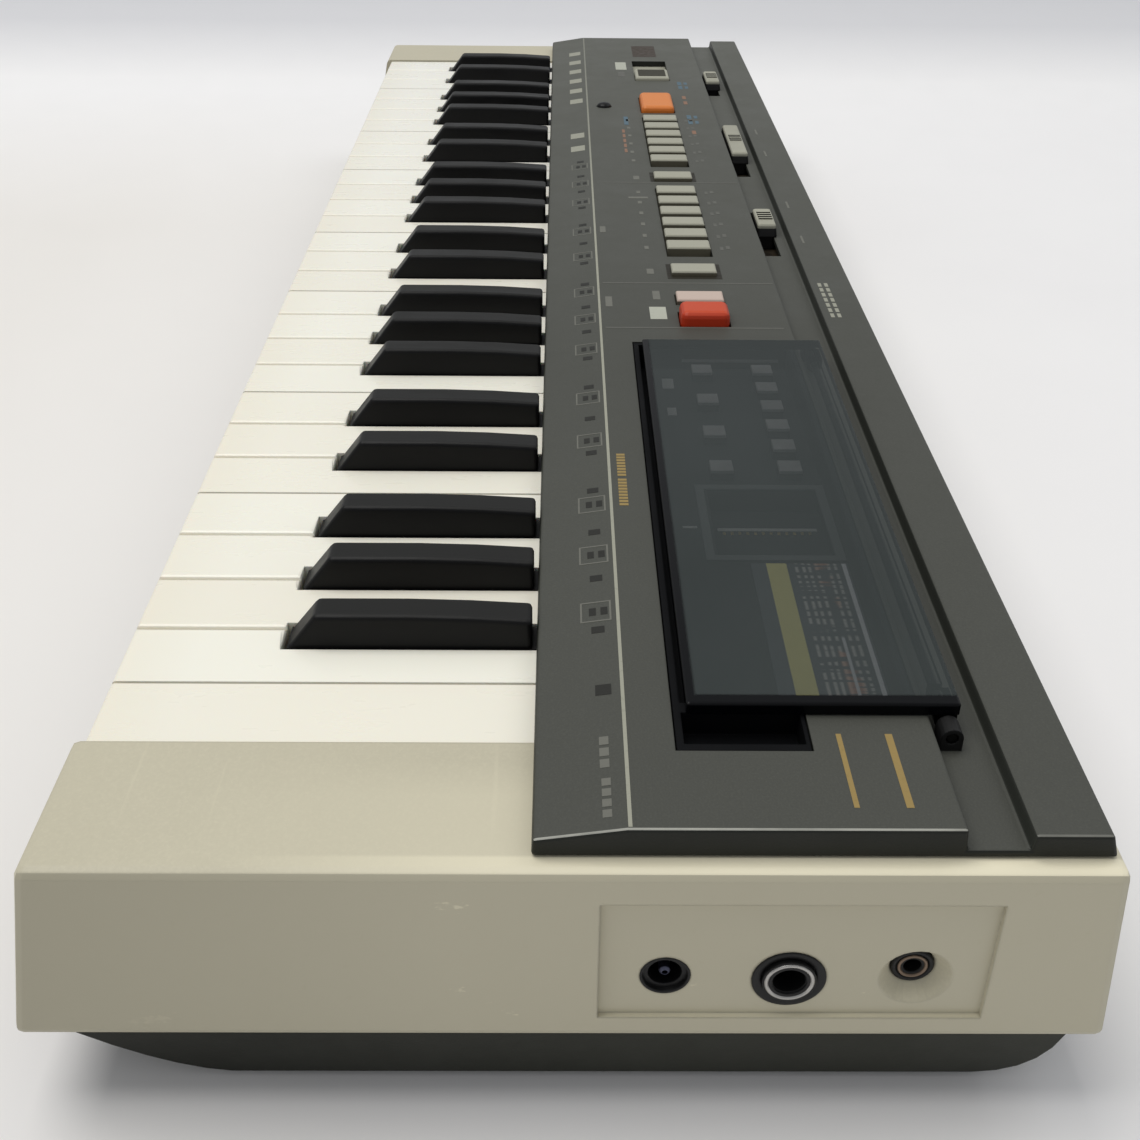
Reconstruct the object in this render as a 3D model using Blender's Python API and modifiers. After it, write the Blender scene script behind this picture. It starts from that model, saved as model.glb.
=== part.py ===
"""A portable keyboard with 49 mid-size keys, modelled at rest in metres.

+X is the treble end, -Y the player's side and +Z up. The origin is under the middle of the
case, at the height of the surface that the feet stand on.
"""

import math

import bmesh
import bpy
from mathutils import Matrix, Vector

MM = 0.001

# Clearances
GAP = 0.3 * MM
RUNNING_GAP = 0.35 * MM
KEY_GAP = 0.7 * MM

# Keys
KEY_PITCH = 20.2 * MM
OCTAVES = 4
WHITE_PER_OCTAVE = 7
COMB_OCTAVES = 1
FIRST_OCTAVE = 2
WHITE_REACH_SHARE = 0.4261
WHITE_DEPTH = 12.0 * MM
WHITE_TOP_WALL = 2.2 * MM
WHITE_FRONT_WALL = 2.4 * MM
KEY_SIDE_WALL = 1.5 * MM
WHITE_EDGE_ROUND = 0.9 * MM
BLACK_WIDTH = 8.7 * MM
BLACK_TOP_WIDTH = 7.8 * MM
BLACK_REACH = 53.4 * MM
BLACK_STAND = 7.8 * MM
BLACK_FRONT_SLOPE = 6.8 * MM
BLACK_TOP_FALL = 1.1 * MM
BLACK_LEVEL_PART = 0.5
BLACK_TIP_GAP = 0.9 * MM
BLACK_EDGE_ROUND = 0.9 * MM
BLACK_END_GAP = 1.0 * MM
TAIL_BEHIND_PANEL_EDGE = 26.6 * MM
PIVOT_BEHIND_PANEL_EDGE = 21.0 * MM
PIVOT_RADIUS = 2.0 * MM
PIVOT_BLOCK = 8.0 * MM

# Case
NEAR_CHEEK = 36.0 * MM
FAR_CHEEK = 39.2 * MM
CASE_DEPTH = 208.4 * MM
FRONT_LEAN = 8.2 * MM
REAR_LEAN = 3.7 * MM
CASE_HEIGHT = 42.6 * MM
CASE_WALL = 2.5 * MM
CASE_ROUND = 1.8 * MM
KEY_SINK = 0.8 * MM
RAIL_DROP = 15.0 * MM
KEY_FRONT_INSET = 2.0 * MM

# Jack bay, in the treble end
BAY_RECESS = 1.2 * MM
BAY_BACKING = 4.6 * MM
BAY_REAR_OFFSET = 21.1 * MM
BAY_LENGTH = 72.5 * MM
BAY_FLOOR = 5.6 * MM
BAY_HEIGHT = 29.5 * MM
DC_ALONG = 12.4 * MM
DC_HEIGHT = 15.8 * MM
DC_HOLE = 4.8 * MM
DC_BORE = 3.2 * MM
DC_PIN = 1.0 * MM
PHONES_ALONG = 35.5 * MM
PHONES_HEIGHT = 15.0 * MM
PHONES_HOLE = 7.0 * MM
PHONES_NOSE = 5.1 * MM
PHONES_BORE = 3.3 * MM
PHONES_STAND = 0.9 * MM
OUTPUT_ALONG = 59.1 * MM
OUTPUT_HEIGHT = 15.4 * MM
OUTPUT_HOLE = 4.2 * MM
OUTPUT_SINK = 6.9 * MM
OUTPUT_SINK_DEPTH = 3.4 * MM
OUTPUT_NOSE = 3.0 * MM
OUTPUT_BORE = 1.8 * MM

# Tray under the case
FOOT_HEIGHT = 2.5 * MM
FOOT_RADIUS = 8.0 * MM
FOOT_END_INSET = 42.0 * MM
FOOT_FRONT_INSET = 48.0 * MM
FOOT_REAR_INSET = 30.0 * MM
TRAY_HEIGHT = 17.6 * MM
TRAY_WALL = 2.4 * MM
FLANGE_INSET = 1.2 * MM
FLANGE_END_INSET = 3.2 * MM
KEEL_FRONT_INSET = 11.4 * MM
KEEL_REAR_INSET = 7.0 * MM
KEEL_END_INSET = 1.2 * MM
KEEL_FRONT_RUN = 26.8 * MM
KEEL_REAR_RUN = 14.2 * MM
KEEL_END_RUN = 5.0 * MM
CURVE_STEPS = 5

# Control panel
PANEL_NEAR_INSET = 4.2 * MM
PANEL_FAR_INSET = 10.5 * MM
PANEL_REAR_INSET = 1.6 * MM
PANEL_WALL = 2.5 * MM
PANEL_FRONT_RISE = 3.7 * MM
PANEL_RISE = 6.3 * MM
PANEL_FRONT_LEAN = 0.3 * MM
PANEL_SLOPE_DEPTH = 16.7 * MM
GROOVE_DROP = 4.6 * MM
GROOVE_LEAN = 0.4 * MM
GROOVE_DEPTH = 11.3 * MM
BAR_DROP = 1.3 * MM
BAR_DEPTH = 15.8 * MM
BAR_REAR_LEAN = 1.5 * MM
BAR_LEAN = 0.4 * MM
PANEL_EDGE_ROUND = 0.6 * MM
PANEL_SEAT = 4.0 * MM

# Buttons in the panel, placed along X
BAR_PITCH = 12.8 * MM
BAR_WIDTH = 8.4 * MM
BAR_LENGTH = 15.3 * MM
BAR_STAND = 1.7 * MM
BAR_ROUND = 0.7 * MM
BARS_IN_BANK = 6
BUTTON_ROW_SHARE = 0.555
BANK_MARGIN = 1.0 * MM
BANK_NEAR_MARGIN = 5.0 * MM
TONE_FIRST_X = -36.6 * MM
TONE_SINGLE_X = 51.2 * MM
TONE_SHIFT_X = 77.0 * MM
RHYTHM_FIRST_X = -143.8 * MM
RHYTHM_SINGLE_X = -55.6 * MM
START_X = 93.6 * MM
START_WIDTH = 11.4 * MM
START_STAND = 4.4 * MM
CHORD_X = -171.0 * MM
CHORD_WIDTH = 28.0 * MM
CHORD_STAND = 3.0 * MM
BUTTON_TRAVEL = 2.0 * MM
BUTTON_ROUND = 2.0 * MM
BUTTON_FLANGE = 1.2 * MM

# Small round window in the flat
WINDOW_X = -168.6 * MM
WINDOW_OFFSET = 8.3 * MM
WINDOW_RADIUS = 3.6 * MM
WINDOW_SINK = 1.2 * MM

# Power switch, with its knob at the treble end of its slot
POWER_SLOT_FAR_X = -262.5 * MM
POWER_SLOT_LENGTH = 43.0 * MM
POWER_SLOT_WIDTH = 17.6 * MM
POWER_SLOT_OFFSET = 0.8 * MM
POWER_KNOB_LENGTH = 18.0 * MM
POWER_STAND = 1.6 * MM

# Sliders in the groove: middle of the knob, length of the knob, travel each way
VOLUME_X = -7.4 * MM
VOLUME_LENGTH = 20.4 * MM
MODE_X = -114.0 * MM
MODE_LENGTH = 46.0 * MM
TEMPO_X = -229.6 * MM
TEMPO_LENGTH = 22.4 * MM
SLIDER_TRAVEL = 20.0 * MM
MODE_TRAVEL = 18.0 * MM
TEMPO_TRAVEL = 10.0 * MM
SLIDER_WIDTH = 7.7 * MM
SLIDER_STAND = 5.0 * MM
SLIDER_SIDE_PLAY = 0.4 * MM
SLIDER_ROUND = 0.9 * MM
SLOT_WIDTH = 5.6 * MM
STEM_LENGTH = 8.0 * MM
STEM_SETBACK = 0.6 * MM
RIDGES = 4
RIDGE_HEIGHT = 0.5 * MM
RIDGE_WIDTH = 1.0 * MM

# Memory pack bay and its lid
LID_FAR_X = 116.0 * MM
LID_LENGTH = 178.0 * MM
LID_FRONT_OFFSET = 12.5 * MM
LID_RISE = 2.9 * MM
LID_WALL = 1.6 * MM
LID_ROUND = 0.5 * MM
LID_SIDE_PLAY = 0.5 * MM
HINGE_OFFSET = 3.6 * MM
HINGE_HEIGHT = 3.0 * MM
HINGE_ROD = 1.0 * MM
KNUCKLE_RADIUS = 2.2 * MM
KNUCKLE_LENGTH = 8.0 * MM
LUG_LENGTH = 4.6 * MM
LID_REAR_OVERHANG = 2.4 * MM
BAY_INSET = 2.6 * MM
BAY_FRONT_SHOW = 2.4 * MM
BAY_SIDE_SHOW = 4.0 * MM
BAY_REAR_INSET = 1.6 * MM
BAY_DROP = 8.0 * MM
BAY_WALL = 1.5 * MM
BAY_FLANGE = 3.0 * MM
POCKET_X = 206.0 * MM
POCKET_LENGTH = 32.6 * MM
POCKET_WIDTH = 30.0 * MM
POCKET_REAR_GAP = 0.7 * MM
POCKET_DROP = 6.5 * MM
SCOOP_LENGTH = 13.0 * MM
SCOOP_WIDTH = 25.5 * MM
SCOOP_DROP = 5.6 * MM
SCOOP_RAMP = 6.0 * MM
SCOOP_RIM = 0.8 * MM
PROGRAM_BUTTON = 6.0 * MM
PROGRAM_STAND = 3.0 * MM
PROGRAM_MARGIN = 6.5 * MM
PROGRAM_ROWS = ((4, 0.42), (6, 0.82))

# Inner parts
CHASSIS_SHEET = 1.2 * MM
CHASSIS_DECK_DROP = 14.0 * MM
CHASSIS_FLANGE = 10.0 * MM
CHASSIS_FRONT_LEG = 42.2 * MM
CHASSIS_SHELF = 10.2 * MM
SHELF_BEHIND_PIVOT = 4.0 * MM
CHASSIS_CLEAR = 5.2 * MM
STOP_HEIGHT = 5.5 * MM
STOP_DEPTH = 4.0 * MM
PEG_WIDTH = 4.0 * MM
PEG_LENGTH = 8.0 * MM
PEG_REACH = 2.4 * MM
WHITE_PEG_INSET = 14.0 * MM
BLACK_PEG_INSET = 20.0 * MM
RAIL_SHEET = 2.8 * MM
RAIL_END_GAP = 0.6 * MM
BOARD_SHEET = 1.6 * MM
BOARD_DROP = 3.9 * MM
BOARD_LENGTH = 410.0 * MM
CHIPS = 4
CHIP_LENGTH = 24.0 * MM
CHIP_WIDTH = 12.0 * MM
CHIP_HEIGHT = 4.0 * MM
POST_RADIUS = 2.5 * MM
POST_SPACING = 95.0 * MM
POSTS = 5
SPEAKER_RADIUS = 38.0 * MM
SPEAKER_HEIGHT = 27.0 * MM
SPEAKER_X = 150.0 * MM
SPEAKER_BEHIND_LEG = 50.0 * MM
GRILLE_SLOTS = 9
GRILLE_PITCH = 6.4 * MM
GRILLE_SLOT = 3.0 * MM
DOOR_X = -130.0 * MM
DOOR_LENGTH = 140.0 * MM
DOOR_LIP = 3.0 * MM
DOOR_SHEET = 2.0 * MM
DOOR_CLEAR = 2.0 * MM
DOOR_RIBS = 5
DOOR_RIB_PITCH = 4.0 * MM
DOOR_RIB_WIDTH = 1.6 * MM
DOOR_RIB_LENGTH = 12.0 * MM
DOOR_RIB_INSET = 4.0 * MM
DOOR_RIB_STAND = 0.6 * MM
HOOK_LENGTH = 10.0 * MM
HOOK_SHEET = 2.0 * MM
HOOK_HEIGHT = 8.0 * MM
WELL_HEIGHT = 26.0 * MM

# Places that follow from the sizes above
WHITE_COUNT = OCTAVES * WHITE_PER_OCTAVE + 1
KEY_RUN = WHITE_COUNT * KEY_PITCH
CASE_LENGTH = NEAR_CHEEK + KEY_RUN + FAR_CHEEK
near_x = CASE_LENGTH / 2
far_x = -near_x
keys_near_x = near_x - NEAR_CHEEK
keys_far_x = far_x + FAR_CHEEK
front_y = -CASE_DEPTH / 2
rear_y = CASE_DEPTH / 2
top_front_y = front_y + FRONT_LEAN
top_rear_y = rear_y - REAR_LEAN
tray_z = FOOT_HEIGHT
tray_rim_z = tray_z + TRAY_HEIGHT
case_z = tray_rim_z + GAP
case_top_z = case_z + CASE_HEIGHT
key_top_z = case_top_z - KEY_SINK
key_low_z = key_top_z - WHITE_DEPTH
key_front_y = top_front_y + KEY_FRONT_INSET
panel_y = key_front_y + WHITE_REACH_SHARE * CASE_DEPTH
panel_z = case_top_z + GAP
panel_foot_y = panel_y - PANEL_FRONT_LEAN
flat_z = panel_z + PANEL_RISE
crease_y = panel_y + PANEL_SLOPE_DEPTH
panel_rear_y = top_rear_y - PANEL_REAR_INSET
bar_y = panel_rear_y - BAR_DEPTH
groove_y = bar_y - GROOVE_DEPTH
flat_rear_y = groove_y - GROOVE_LEAN
groove_z = flat_z - GROOVE_DROP
bar_z = flat_z - BAR_DROP
panel_near_x = near_x - PANEL_NEAR_INSET
panel_far_x = far_x + PANEL_FAR_INSET
under_panel_z = flat_z - PANEL_WALL
under_groove_z = groove_z - PANEL_WALL
pivot_y = panel_y + PIVOT_BEHIND_PANEL_EDGE
pivot_z = key_low_z - GAP
tail_y = panel_y + TAIL_BEHIND_PANEL_EDGE
rail_top_z = case_top_z - RAIL_DROP
black_tip_y = panel_foot_y - BLACK_END_GAP - BLACK_REACH
black_end_y = panel_foot_y - BLACK_END_GAP
notch_y = black_tip_y - BLACK_TIP_GAP
button_y = crease_y + BUTTON_ROW_SHARE * (flat_rear_y - crease_y)
board_z = under_groove_z - BOARD_DROP
board_top_z = board_z + BOARD_SHEET
deck_z = pivot_z - CHASSIS_DECK_DROP
shelf_z = pivot_z - GAP
shelf_rear_y = pivot_y + SHELF_BEHIND_PIVOT + CHASSIS_SHELF
hinge_y = flat_rear_y + HINGE_OFFSET
hinge_z = groove_z + HINGE_HEIGHT
lid_near_x = LID_FAR_X + LID_LENGTH
lid_front_y = crease_y + LID_FRONT_OFFSET
lid_rear_y = hinge_y + LID_REAR_OVERHANG
lid_low_z = flat_z + GAP
lid_top_z = flat_z + LID_RISE
slider_y = groove_y + SLIDER_SIDE_PLAY + SLIDER_WIDTH / 2

NOTES = ("c", "d", "e", "f", "g", "a", "b")
SHARP_OFFSETS = {"c": -3.0 * MM, "d": 3.0 * MM, "f": -3.2 * MM, "g": 0.0, "a": 3.2 * MM}


def clear_scene():
    for obj in list(bpy.data.objects):
        bpy.data.objects.remove(obj, do_unlink=True)


def collection(name, hidden=False):
    made = bpy.data.collections.new(name)
    bpy.context.scene.collection.children.link(made)
    made.hide_render = hidden
    return made


def material(name, colour, roughness, metallic=0.0, alpha=1.0):
    made = bpy.data.materials.new(name)
    made.use_nodes = True
    shader = made.node_tree.nodes["Principled BSDF"]
    shader.inputs["Base Color"].default_value = (*colour, 1.0)
    shader.inputs["Roughness"].default_value = roughness
    shader.inputs["Metallic"].default_value = metallic
    shader.inputs["Alpha"].default_value = alpha
    return made


def mesh_object(bm, name, group, look=None, smooth=False):
    bmesh.ops.recalc_face_normals(bm, faces=bm.faces)
    mesh = bpy.data.meshes.new(name)
    bm.to_mesh(mesh)
    bm.free()
    if smooth:
        mesh.shade_smooth()
        mesh.set_sharp_from_angle(angle=math.radians(35))
    made = bpy.data.objects.new(name, mesh)
    group.objects.link(made)
    if look is not None:
        mesh.materials.append(look)
    if group is cutters:
        made.hide_render = True
        made.display_type = "WIRE"
    return made


def add_box(bm, low, high):
    size = Vector(high) - Vector(low)
    middle = (Vector(high) + Vector(low)) / 2
    place = Matrix.Translation(middle) @ Matrix.Diagonal((*size, 1.0))
    return bmesh.ops.create_cube(bm, size=1.0, matrix=place)["verts"]


def add_rod(bm, axis, centre, start, end, radius, end_radius=None, sides=20):
    """A cylinder or cone along the X or Z axis; centre holds the two other coordinates."""
    length = end - start
    middle = (start + end) / 2
    if axis == "X":
        turn = Matrix.Rotation(math.radians(90), 4, "Y")
        place = Matrix.Translation((middle, centre[0], centre[1])) @ turn
    else:
        place = Matrix.Translation((centre[0], centre[1], middle))
    last = radius if end_radius is None else end_radius
    bmesh.ops.create_cone(bm, cap_ends=True, segments=sides, radius1=radius, radius2=last,
                          depth=length, matrix=place)


def add_prism(bm, outline, axis, start, end):
    """The outline pushed along X, from pairs of Y and Z, or along Z, from pairs of X and Y."""
    if axis == "X":
        points = [(start, a, b) for a, b in outline]
        push = Vector((end - start, 0, 0))
    else:
        points = [(a, b, start) for a, b in outline]
        push = Vector((0, 0, end - start))
    face = bm.faces.new([bm.verts.new(point) for point in points])
    grown = bmesh.ops.extrude_face_region(bm, geom=[face])["geom"]
    moved = [part for part in grown if isinstance(part, bmesh.types.BMVert)]
    bmesh.ops.translate(bm, verts=moved, vec=push)


def box(name, group, low, high, look=None):
    bm = bmesh.new()
    add_box(bm, low, high)
    return mesh_object(bm, name, group, look)


def boxes(name, group, pairs, look=None):
    bm = bmesh.new()
    for low, high in pairs:
        add_box(bm, low, high)
    return mesh_object(bm, name, group, look)


def rod(name, group, axis, centre, start, end, radius, end_radius=None, sides=20, look=None):
    bm = bmesh.new()
    add_rod(bm, axis, centre, start, end, radius, end_radius, sides)
    return mesh_object(bm, name, group, look, smooth=True)


def prism(name, group, outline, axis, start, end, look=None):
    bm = bmesh.new()
    add_prism(bm, outline, axis, start, end)
    return mesh_object(bm, name, group, look)


def boolean(target, other, operation):
    modifier = target.modifiers.new(other.name, "BOOLEAN")
    modifier.operation = operation
    modifier.solver = "EXACT"
    modifier.object = other


def cut(target, *others):
    for other in others:
        boolean(target, other, "DIFFERENCE")


def join(target, *others):
    for other in others:
        boolean(target, other, "UNION")


def soften(target, width, segments=2, angle=35):
    modifier = target.modifiers.new("soft_edges", "BEVEL")
    modifier.width = width
    modifier.segments = segments
    modifier.limit_method = "ANGLE"
    modifier.angle_limit = math.radians(angle)


def settled(obj, name):
    """The mesh that the object's modifiers make, as a mesh of its own."""
    bpy.context.view_layer.update()
    graph = bpy.context.evaluated_depsgraph_get()
    mesh = bpy.data.meshes.new_from_object(obj.evaluated_get(graph))
    mesh.name = name
    return mesh


def curve_points(start, pull, end, steps=CURVE_STEPS):
    """Points along a quadratic curve, with both ends."""
    found = []
    for step in range(steps + 1):
        t = step / steps
        found.append(tuple(
            (1 - t) ** 2 * a + 2 * t * (1 - t) * b + t ** 2 * c
            for a, b, c in zip(start, pull, end)
        ))
    return found


def arc_points(centre, radius, first, last, steps):
    """Points along an arc from one angle to another, in degrees."""
    angles = [math.radians(first + (last - first) * i / steps) for i in range(steps + 1)]
    return [(centre[0] + radius * math.cos(a), centre[1] + radius * math.sin(a)) for a in angles]


def white_low_x(index):
    return keys_far_x + index * KEY_PITCH


def has_sharp(index):
    return NOTES[index % 7] in SHARP_OFFSETS and index < WHITE_COUNT - 1


def side_cut(index, side):
    """How much of a white key's tail its black neighbour takes away; side is -1 or +1."""
    neighbour = index if side > 0 else index - 1
    if neighbour < 0 or not has_sharp(neighbour):
        return 0.0
    offset = SHARP_OFFSETS[NOTES[neighbour % 7]]
    return BLACK_WIDTH / 2 + KEY_GAP - side * offset - KEY_GAP / 2


def white_outline(left, right, half):
    """Front edge, then the treble side, the tail and the bass side, about the pivot."""
    front = key_front_y - pivot_y
    notch = notch_y - pivot_y
    tail = tail_y - pivot_y
    outline = [(-half, front), (half, front)]
    if right:
        outline += [(half, notch)]
    outline += [(half - right, notch if right else tail)]
    if right:
        outline += [(half - right, tail)]
    outline += [(-half + left, tail)]
    if left:
        outline += [(-half + left, notch), (-half, notch)]
    return outline


def round_top_edges(bm, top, width, front_limit):
    """Bevels the upper edges that lie in front of a line."""
    edges = [
        edge for edge in bm.edges
        if all(abs(v.co.z - top) < 1e-6 for v in edge.verts)
        and all(v.co.y < front_limit for v in edge.verts)
    ]
    bmesh.ops.bevel(bm, geom=edges, offset=width, segments=2, profile=0.5, affect="EDGES")


def white_key_mesh(index):
    """One white key as a shell that is open below, with its saddle over the pivot."""
    left = side_cut(index, -1)
    right = side_cut(index, 1)
    half = (KEY_PITCH - KEY_GAP) / 2
    top = key_top_z - pivot_z
    low = key_low_z - pivot_z
    front = key_front_y - pivot_y
    notch = notch_y - pivot_y
    bm = bmesh.new()
    add_prism(bm, white_outline(left, right, half), "Z", low, top)
    bmesh.ops.recalc_face_normals(bm, faces=bm.faces)
    round_top_edges(bm, top, WHITE_EDGE_ROUND, notch + MM)
    shape = mesh_object(bm, "white_blank", helpers)
    wide = box("white_hollow", cutters,
               (-half + KEY_SIDE_WALL, front + WHITE_FRONT_WALL, low - MM),
               (half - KEY_SIDE_WALL, notch - KEY_SIDE_WALL, top - WHITE_TOP_WALL))
    narrow = box("white_tail_hollow", cutters,
                 (-half + left + KEY_SIDE_WALL, notch - KEY_SIDE_WALL - MM, low - MM),
                 (half - right - KEY_SIDE_WALL, -PIVOT_BLOCK,
                  top - WHITE_TOP_WALL - GAP))
    saddle = rod("white_saddle", cutters, "X", (0, 0), -KEY_PITCH, KEY_PITCH,
                 PIVOT_RADIUS + GAP, sides=16)
    cut(shape, wide, narrow, saddle)
    mesh = settled(shape, "white_key_" + NOTES[index % 7])
    for used in (shape, wide, narrow, saddle):
        bpy.data.objects.remove(used, do_unlink=True)
    return mesh


def black_body(bm):
    """The upper block of a black key: sloping front, crown that falls to the rear, tapered sides."""
    base = key_top_z - pivot_z - MM
    top = key_top_z + BLACK_STAND - pivot_z
    tip = black_tip_y - pivot_y
    end = black_end_y - pivot_y
    level_end = tip + BLACK_REACH * BLACK_LEVEL_PART
    outline = [(tip, base), (end, base), (end, top - BLACK_TOP_FALL),
               ((level_end + end) / 2, top - 0.3 * BLACK_TOP_FALL), (level_end, top),
               (tip + BLACK_FRONT_SLOPE, top)]
    add_prism(bm, outline, "X", -BLACK_WIDTH / 2, BLACK_WIDTH / 2)
    bmesh.ops.recalc_face_normals(bm, faces=bm.faces)
    squeeze = BLACK_TOP_WIDTH / BLACK_WIDTH
    for vert in bm.verts:
        if vert.co.z > base + MM:
            vert.co.x *= squeeze
    edges = [edge for edge in bm.edges
             if max(v.co.z for v in edge.verts) > base + MM and edge.calc_face_angle(0) > 0.4]
    bmesh.ops.bevel(bm, geom=edges, offset=BLACK_EDGE_ROUND, segments=2, profile=0.5,
                    affect="EDGES")


def black_key_mesh():
    """One black key: a tapered top, a tail under the panel and a hollow open below."""
    low = key_low_z - pivot_z
    top = key_top_z - pivot_z
    half = BLACK_WIDTH / 2 - GAP
    tip = black_tip_y - pivot_y + GAP
    shape = box("black_tail", helpers, (-half, tip, low), (half, tail_y - pivot_y, top - GAP))
    bm = bmesh.new()
    black_body(bm)
    upper = mesh_object(bm, "black_upper", cutters)
    hollow = box("black_hollow", cutters,
                 (-half + KEY_SIDE_WALL, tip + WHITE_FRONT_WALL, low - MM),
                 (half - KEY_SIDE_WALL, -PIVOT_BLOCK, top - WHITE_TOP_WALL))
    saddle = rod("black_saddle", cutters, "X", (0, 0), -KEY_PITCH, KEY_PITCH,
                 PIVOT_RADIUS + GAP, sides=16)
    join(shape, upper)
    cut(shape, hollow, saddle)
    mesh = settled(shape, "black_key")
    for used in (shape, upper, hollow, saddle):
        bpy.data.objects.remove(used, do_unlink=True)
    return mesh


def key_places():
    """Name, kind, index and X of every key from bass to treble."""
    found = []
    for index in range(WHITE_COUNT):
        note = NOTES[index % 7]
        octave = FIRST_OCTAVE + index // 7
        low = white_low_x(index)
        found.append((f"key_{note}{octave}", "white", index, low + KEY_PITCH / 2))
        if has_sharp(index):
            sharp_x = low + KEY_PITCH + SHARP_OFFSETS[note]
            found.append((f"key_{note}{octave}_sharp", "black", index, sharp_x))
    return found


def in_comb(index):
    return index < COMB_OCTAVES * WHITE_PER_OCTAVE


def single_keys(places, meshes):
    """Each key above the comb octave, hung on its own point of the pivot."""
    for name, kind, index, x in places:
        if in_comb(index):
            continue
        mesh = meshes[kind, index % 7, index == WHITE_COUNT - 1]
        made = bpy.data.objects.new(name, mesh)
        made.location = (x, pivot_y, pivot_z)
        parts.objects.link(made)


def key_comb(name, kind, places, meshes, rail_low_z, rail_front_y, trim):
    """The lowest octave's keys of one kind, moulded on one rail behind the pivot."""
    members = [place for place in places if place[1] == kind and in_comb(place[2])]
    reach = KEY_PITCH / 2 - KEY_GAP / 2 if kind == "white" else BLACK_WIDTH / 2
    first_x = members[0][3] - reach + RAIL_END_GAP
    last_x = members[-1][3] + reach - RAIL_END_GAP
    rail = box(name, parts, (first_x, rail_front_y, rail_low_z),
               (last_x, shelf_rear_y - GAP, rail_low_z + RAIL_SHEET))
    for _, _, index, x in members:
        mesh = meshes[kind, index % 7, False]
        key = bpy.data.objects.new("comb_key", mesh)
        key.location = (x, pivot_y, pivot_z)
        cutters.objects.link(key)
        key.hide_render = True
        key.display_type = "WIRE"
        cut(key, trim)
        join(rail, key)
    return rail


def key_meshes(places):
    """One mesh for each shape of key, keyed by kind, note and being the last key."""
    black = black_key_mesh()
    black.materials.append(looks["black_key"])
    found = {}
    for _, kind, index, _ in places:
        key = (kind, index % 7, index == WHITE_COUNT - 1)
        if key in found:
            continue
        if kind == "black":
            found[key] = black
            continue
        wanted = index if index >= 7 else index + 7
        mesh = white_key_mesh(wanted if index < WHITE_COUNT - 1 else index)
        mesh.materials.append(looks["white_key"])
        found[key] = mesh
    return found


def case_outline(inset_side=0.0, inset_top=0.0, low=None):
    """The case's section: leaning front and rear walls under a level top."""
    low = case_z if low is None else low
    top = case_top_z - inset_top
    rise = case_top_z - case_z

    def front_at(z):
        return front_y + FRONT_LEAN * (z - case_z) / rise + inset_side

    def rear_at(z):
        return rear_y - REAR_LEAN * (z - case_z) / rise - inset_side

    return [(front_at(low), low), (rear_at(low), low), (rear_at(top), top), (front_at(top), top)]


def upper_case():
    bm = bmesh.new()
    add_prism(bm, case_outline(), "X", far_x, near_x)
    bmesh.ops.recalc_face_normals(bm, faces=bm.faces)
    bmesh.ops.bevel(bm, geom=bm.edges[:], offset=CASE_ROUND, segments=2, profile=0.5,
                    affect="EDGES")
    shell = mesh_object(bm, "upper_case", parts, looks["cream_case"])
    below = case_z - 5 * MM
    behind_keys_y = panel_foot_y + PANEL_SEAT
    rear_hollow = prism("rear_hollow", cutters, case_outline(CASE_WALL, CASE_WALL, below),
                        "X", far_x + CASE_WALL, bay_wall_x())
    keep_front = box("keep_front", cutters, (far_x, front_y - MM, below - MM),
                     (near_x, behind_keys_y, case_top_z))
    cut(rear_hollow, keep_front)
    cheek_top = CASE_WALL + GAP
    near_hollow = cheek_hollow("near_hollow", keys_near_x + CASE_WALL, near_x - CASE_WALL,
                               cheek_top, below, behind_keys_y + CASE_WALL)
    far_hollow = cheek_hollow("far_hollow", far_x + CASE_WALL + GAP, keys_far_x - CASE_WALL,
                              cheek_top, below, behind_keys_y + CASE_WALL)
    key_hollow = cheek_hollow("key_hollow", keys_far_x, keys_near_x,
                              RAIL_DROP - MM, below, behind_keys_y + CASE_WALL)
    key_mouth = box("key_mouth", cutters, (keys_far_x, front_y - MM, rail_top_z),
                    (keys_near_x, behind_keys_y + CASE_WALL, case_top_z + MM))
    panel_mouth = box("panel_mouth", cutters,
                      (panel_far_x + PANEL_SEAT, behind_keys_y, case_top_z - 4 * MM),
                      (panel_near_x - PANEL_SEAT, panel_rear_y - PANEL_SEAT, case_top_z + MM))
    cut(shell, rear_hollow, near_hollow, far_hollow, key_hollow, key_mouth, panel_mouth)
    cut(shell, jack_bay(), *jack_holes())
    return shell


def cheek_hollow(name, start_x, end_x, inset_top, below, rear_limit):
    """The room inside one end block, or under the keys, up to the room behind."""
    outline = case_outline(CASE_WALL, inset_top, below)
    outline[1] = (rear_limit, outline[1][1])
    outline[2] = (rear_limit, outline[2][1])
    return prism(name, cutters, outline, "X", start_x, end_x)


def bay_front_y():
    return top_rear_y - BAY_REAR_OFFSET - BAY_LENGTH


def bay_wall_x():
    """The inner face of the thick wall behind the bay."""
    return near_x - BAY_RECESS - BAY_BACKING


def jack_bay():
    """A shallow recess in the treble end, round the sockets."""
    floor_z = case_z + BAY_FLOOR
    return box("jack_bay", cutters, (near_x - BAY_RECESS, bay_front_y(), floor_z),
               (near_x + MM, bay_front_y() + BAY_LENGTH, floor_z + BAY_HEIGHT))


def jack_centre(along, height):
    return (bay_front_y() + along, case_z + height)


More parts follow.
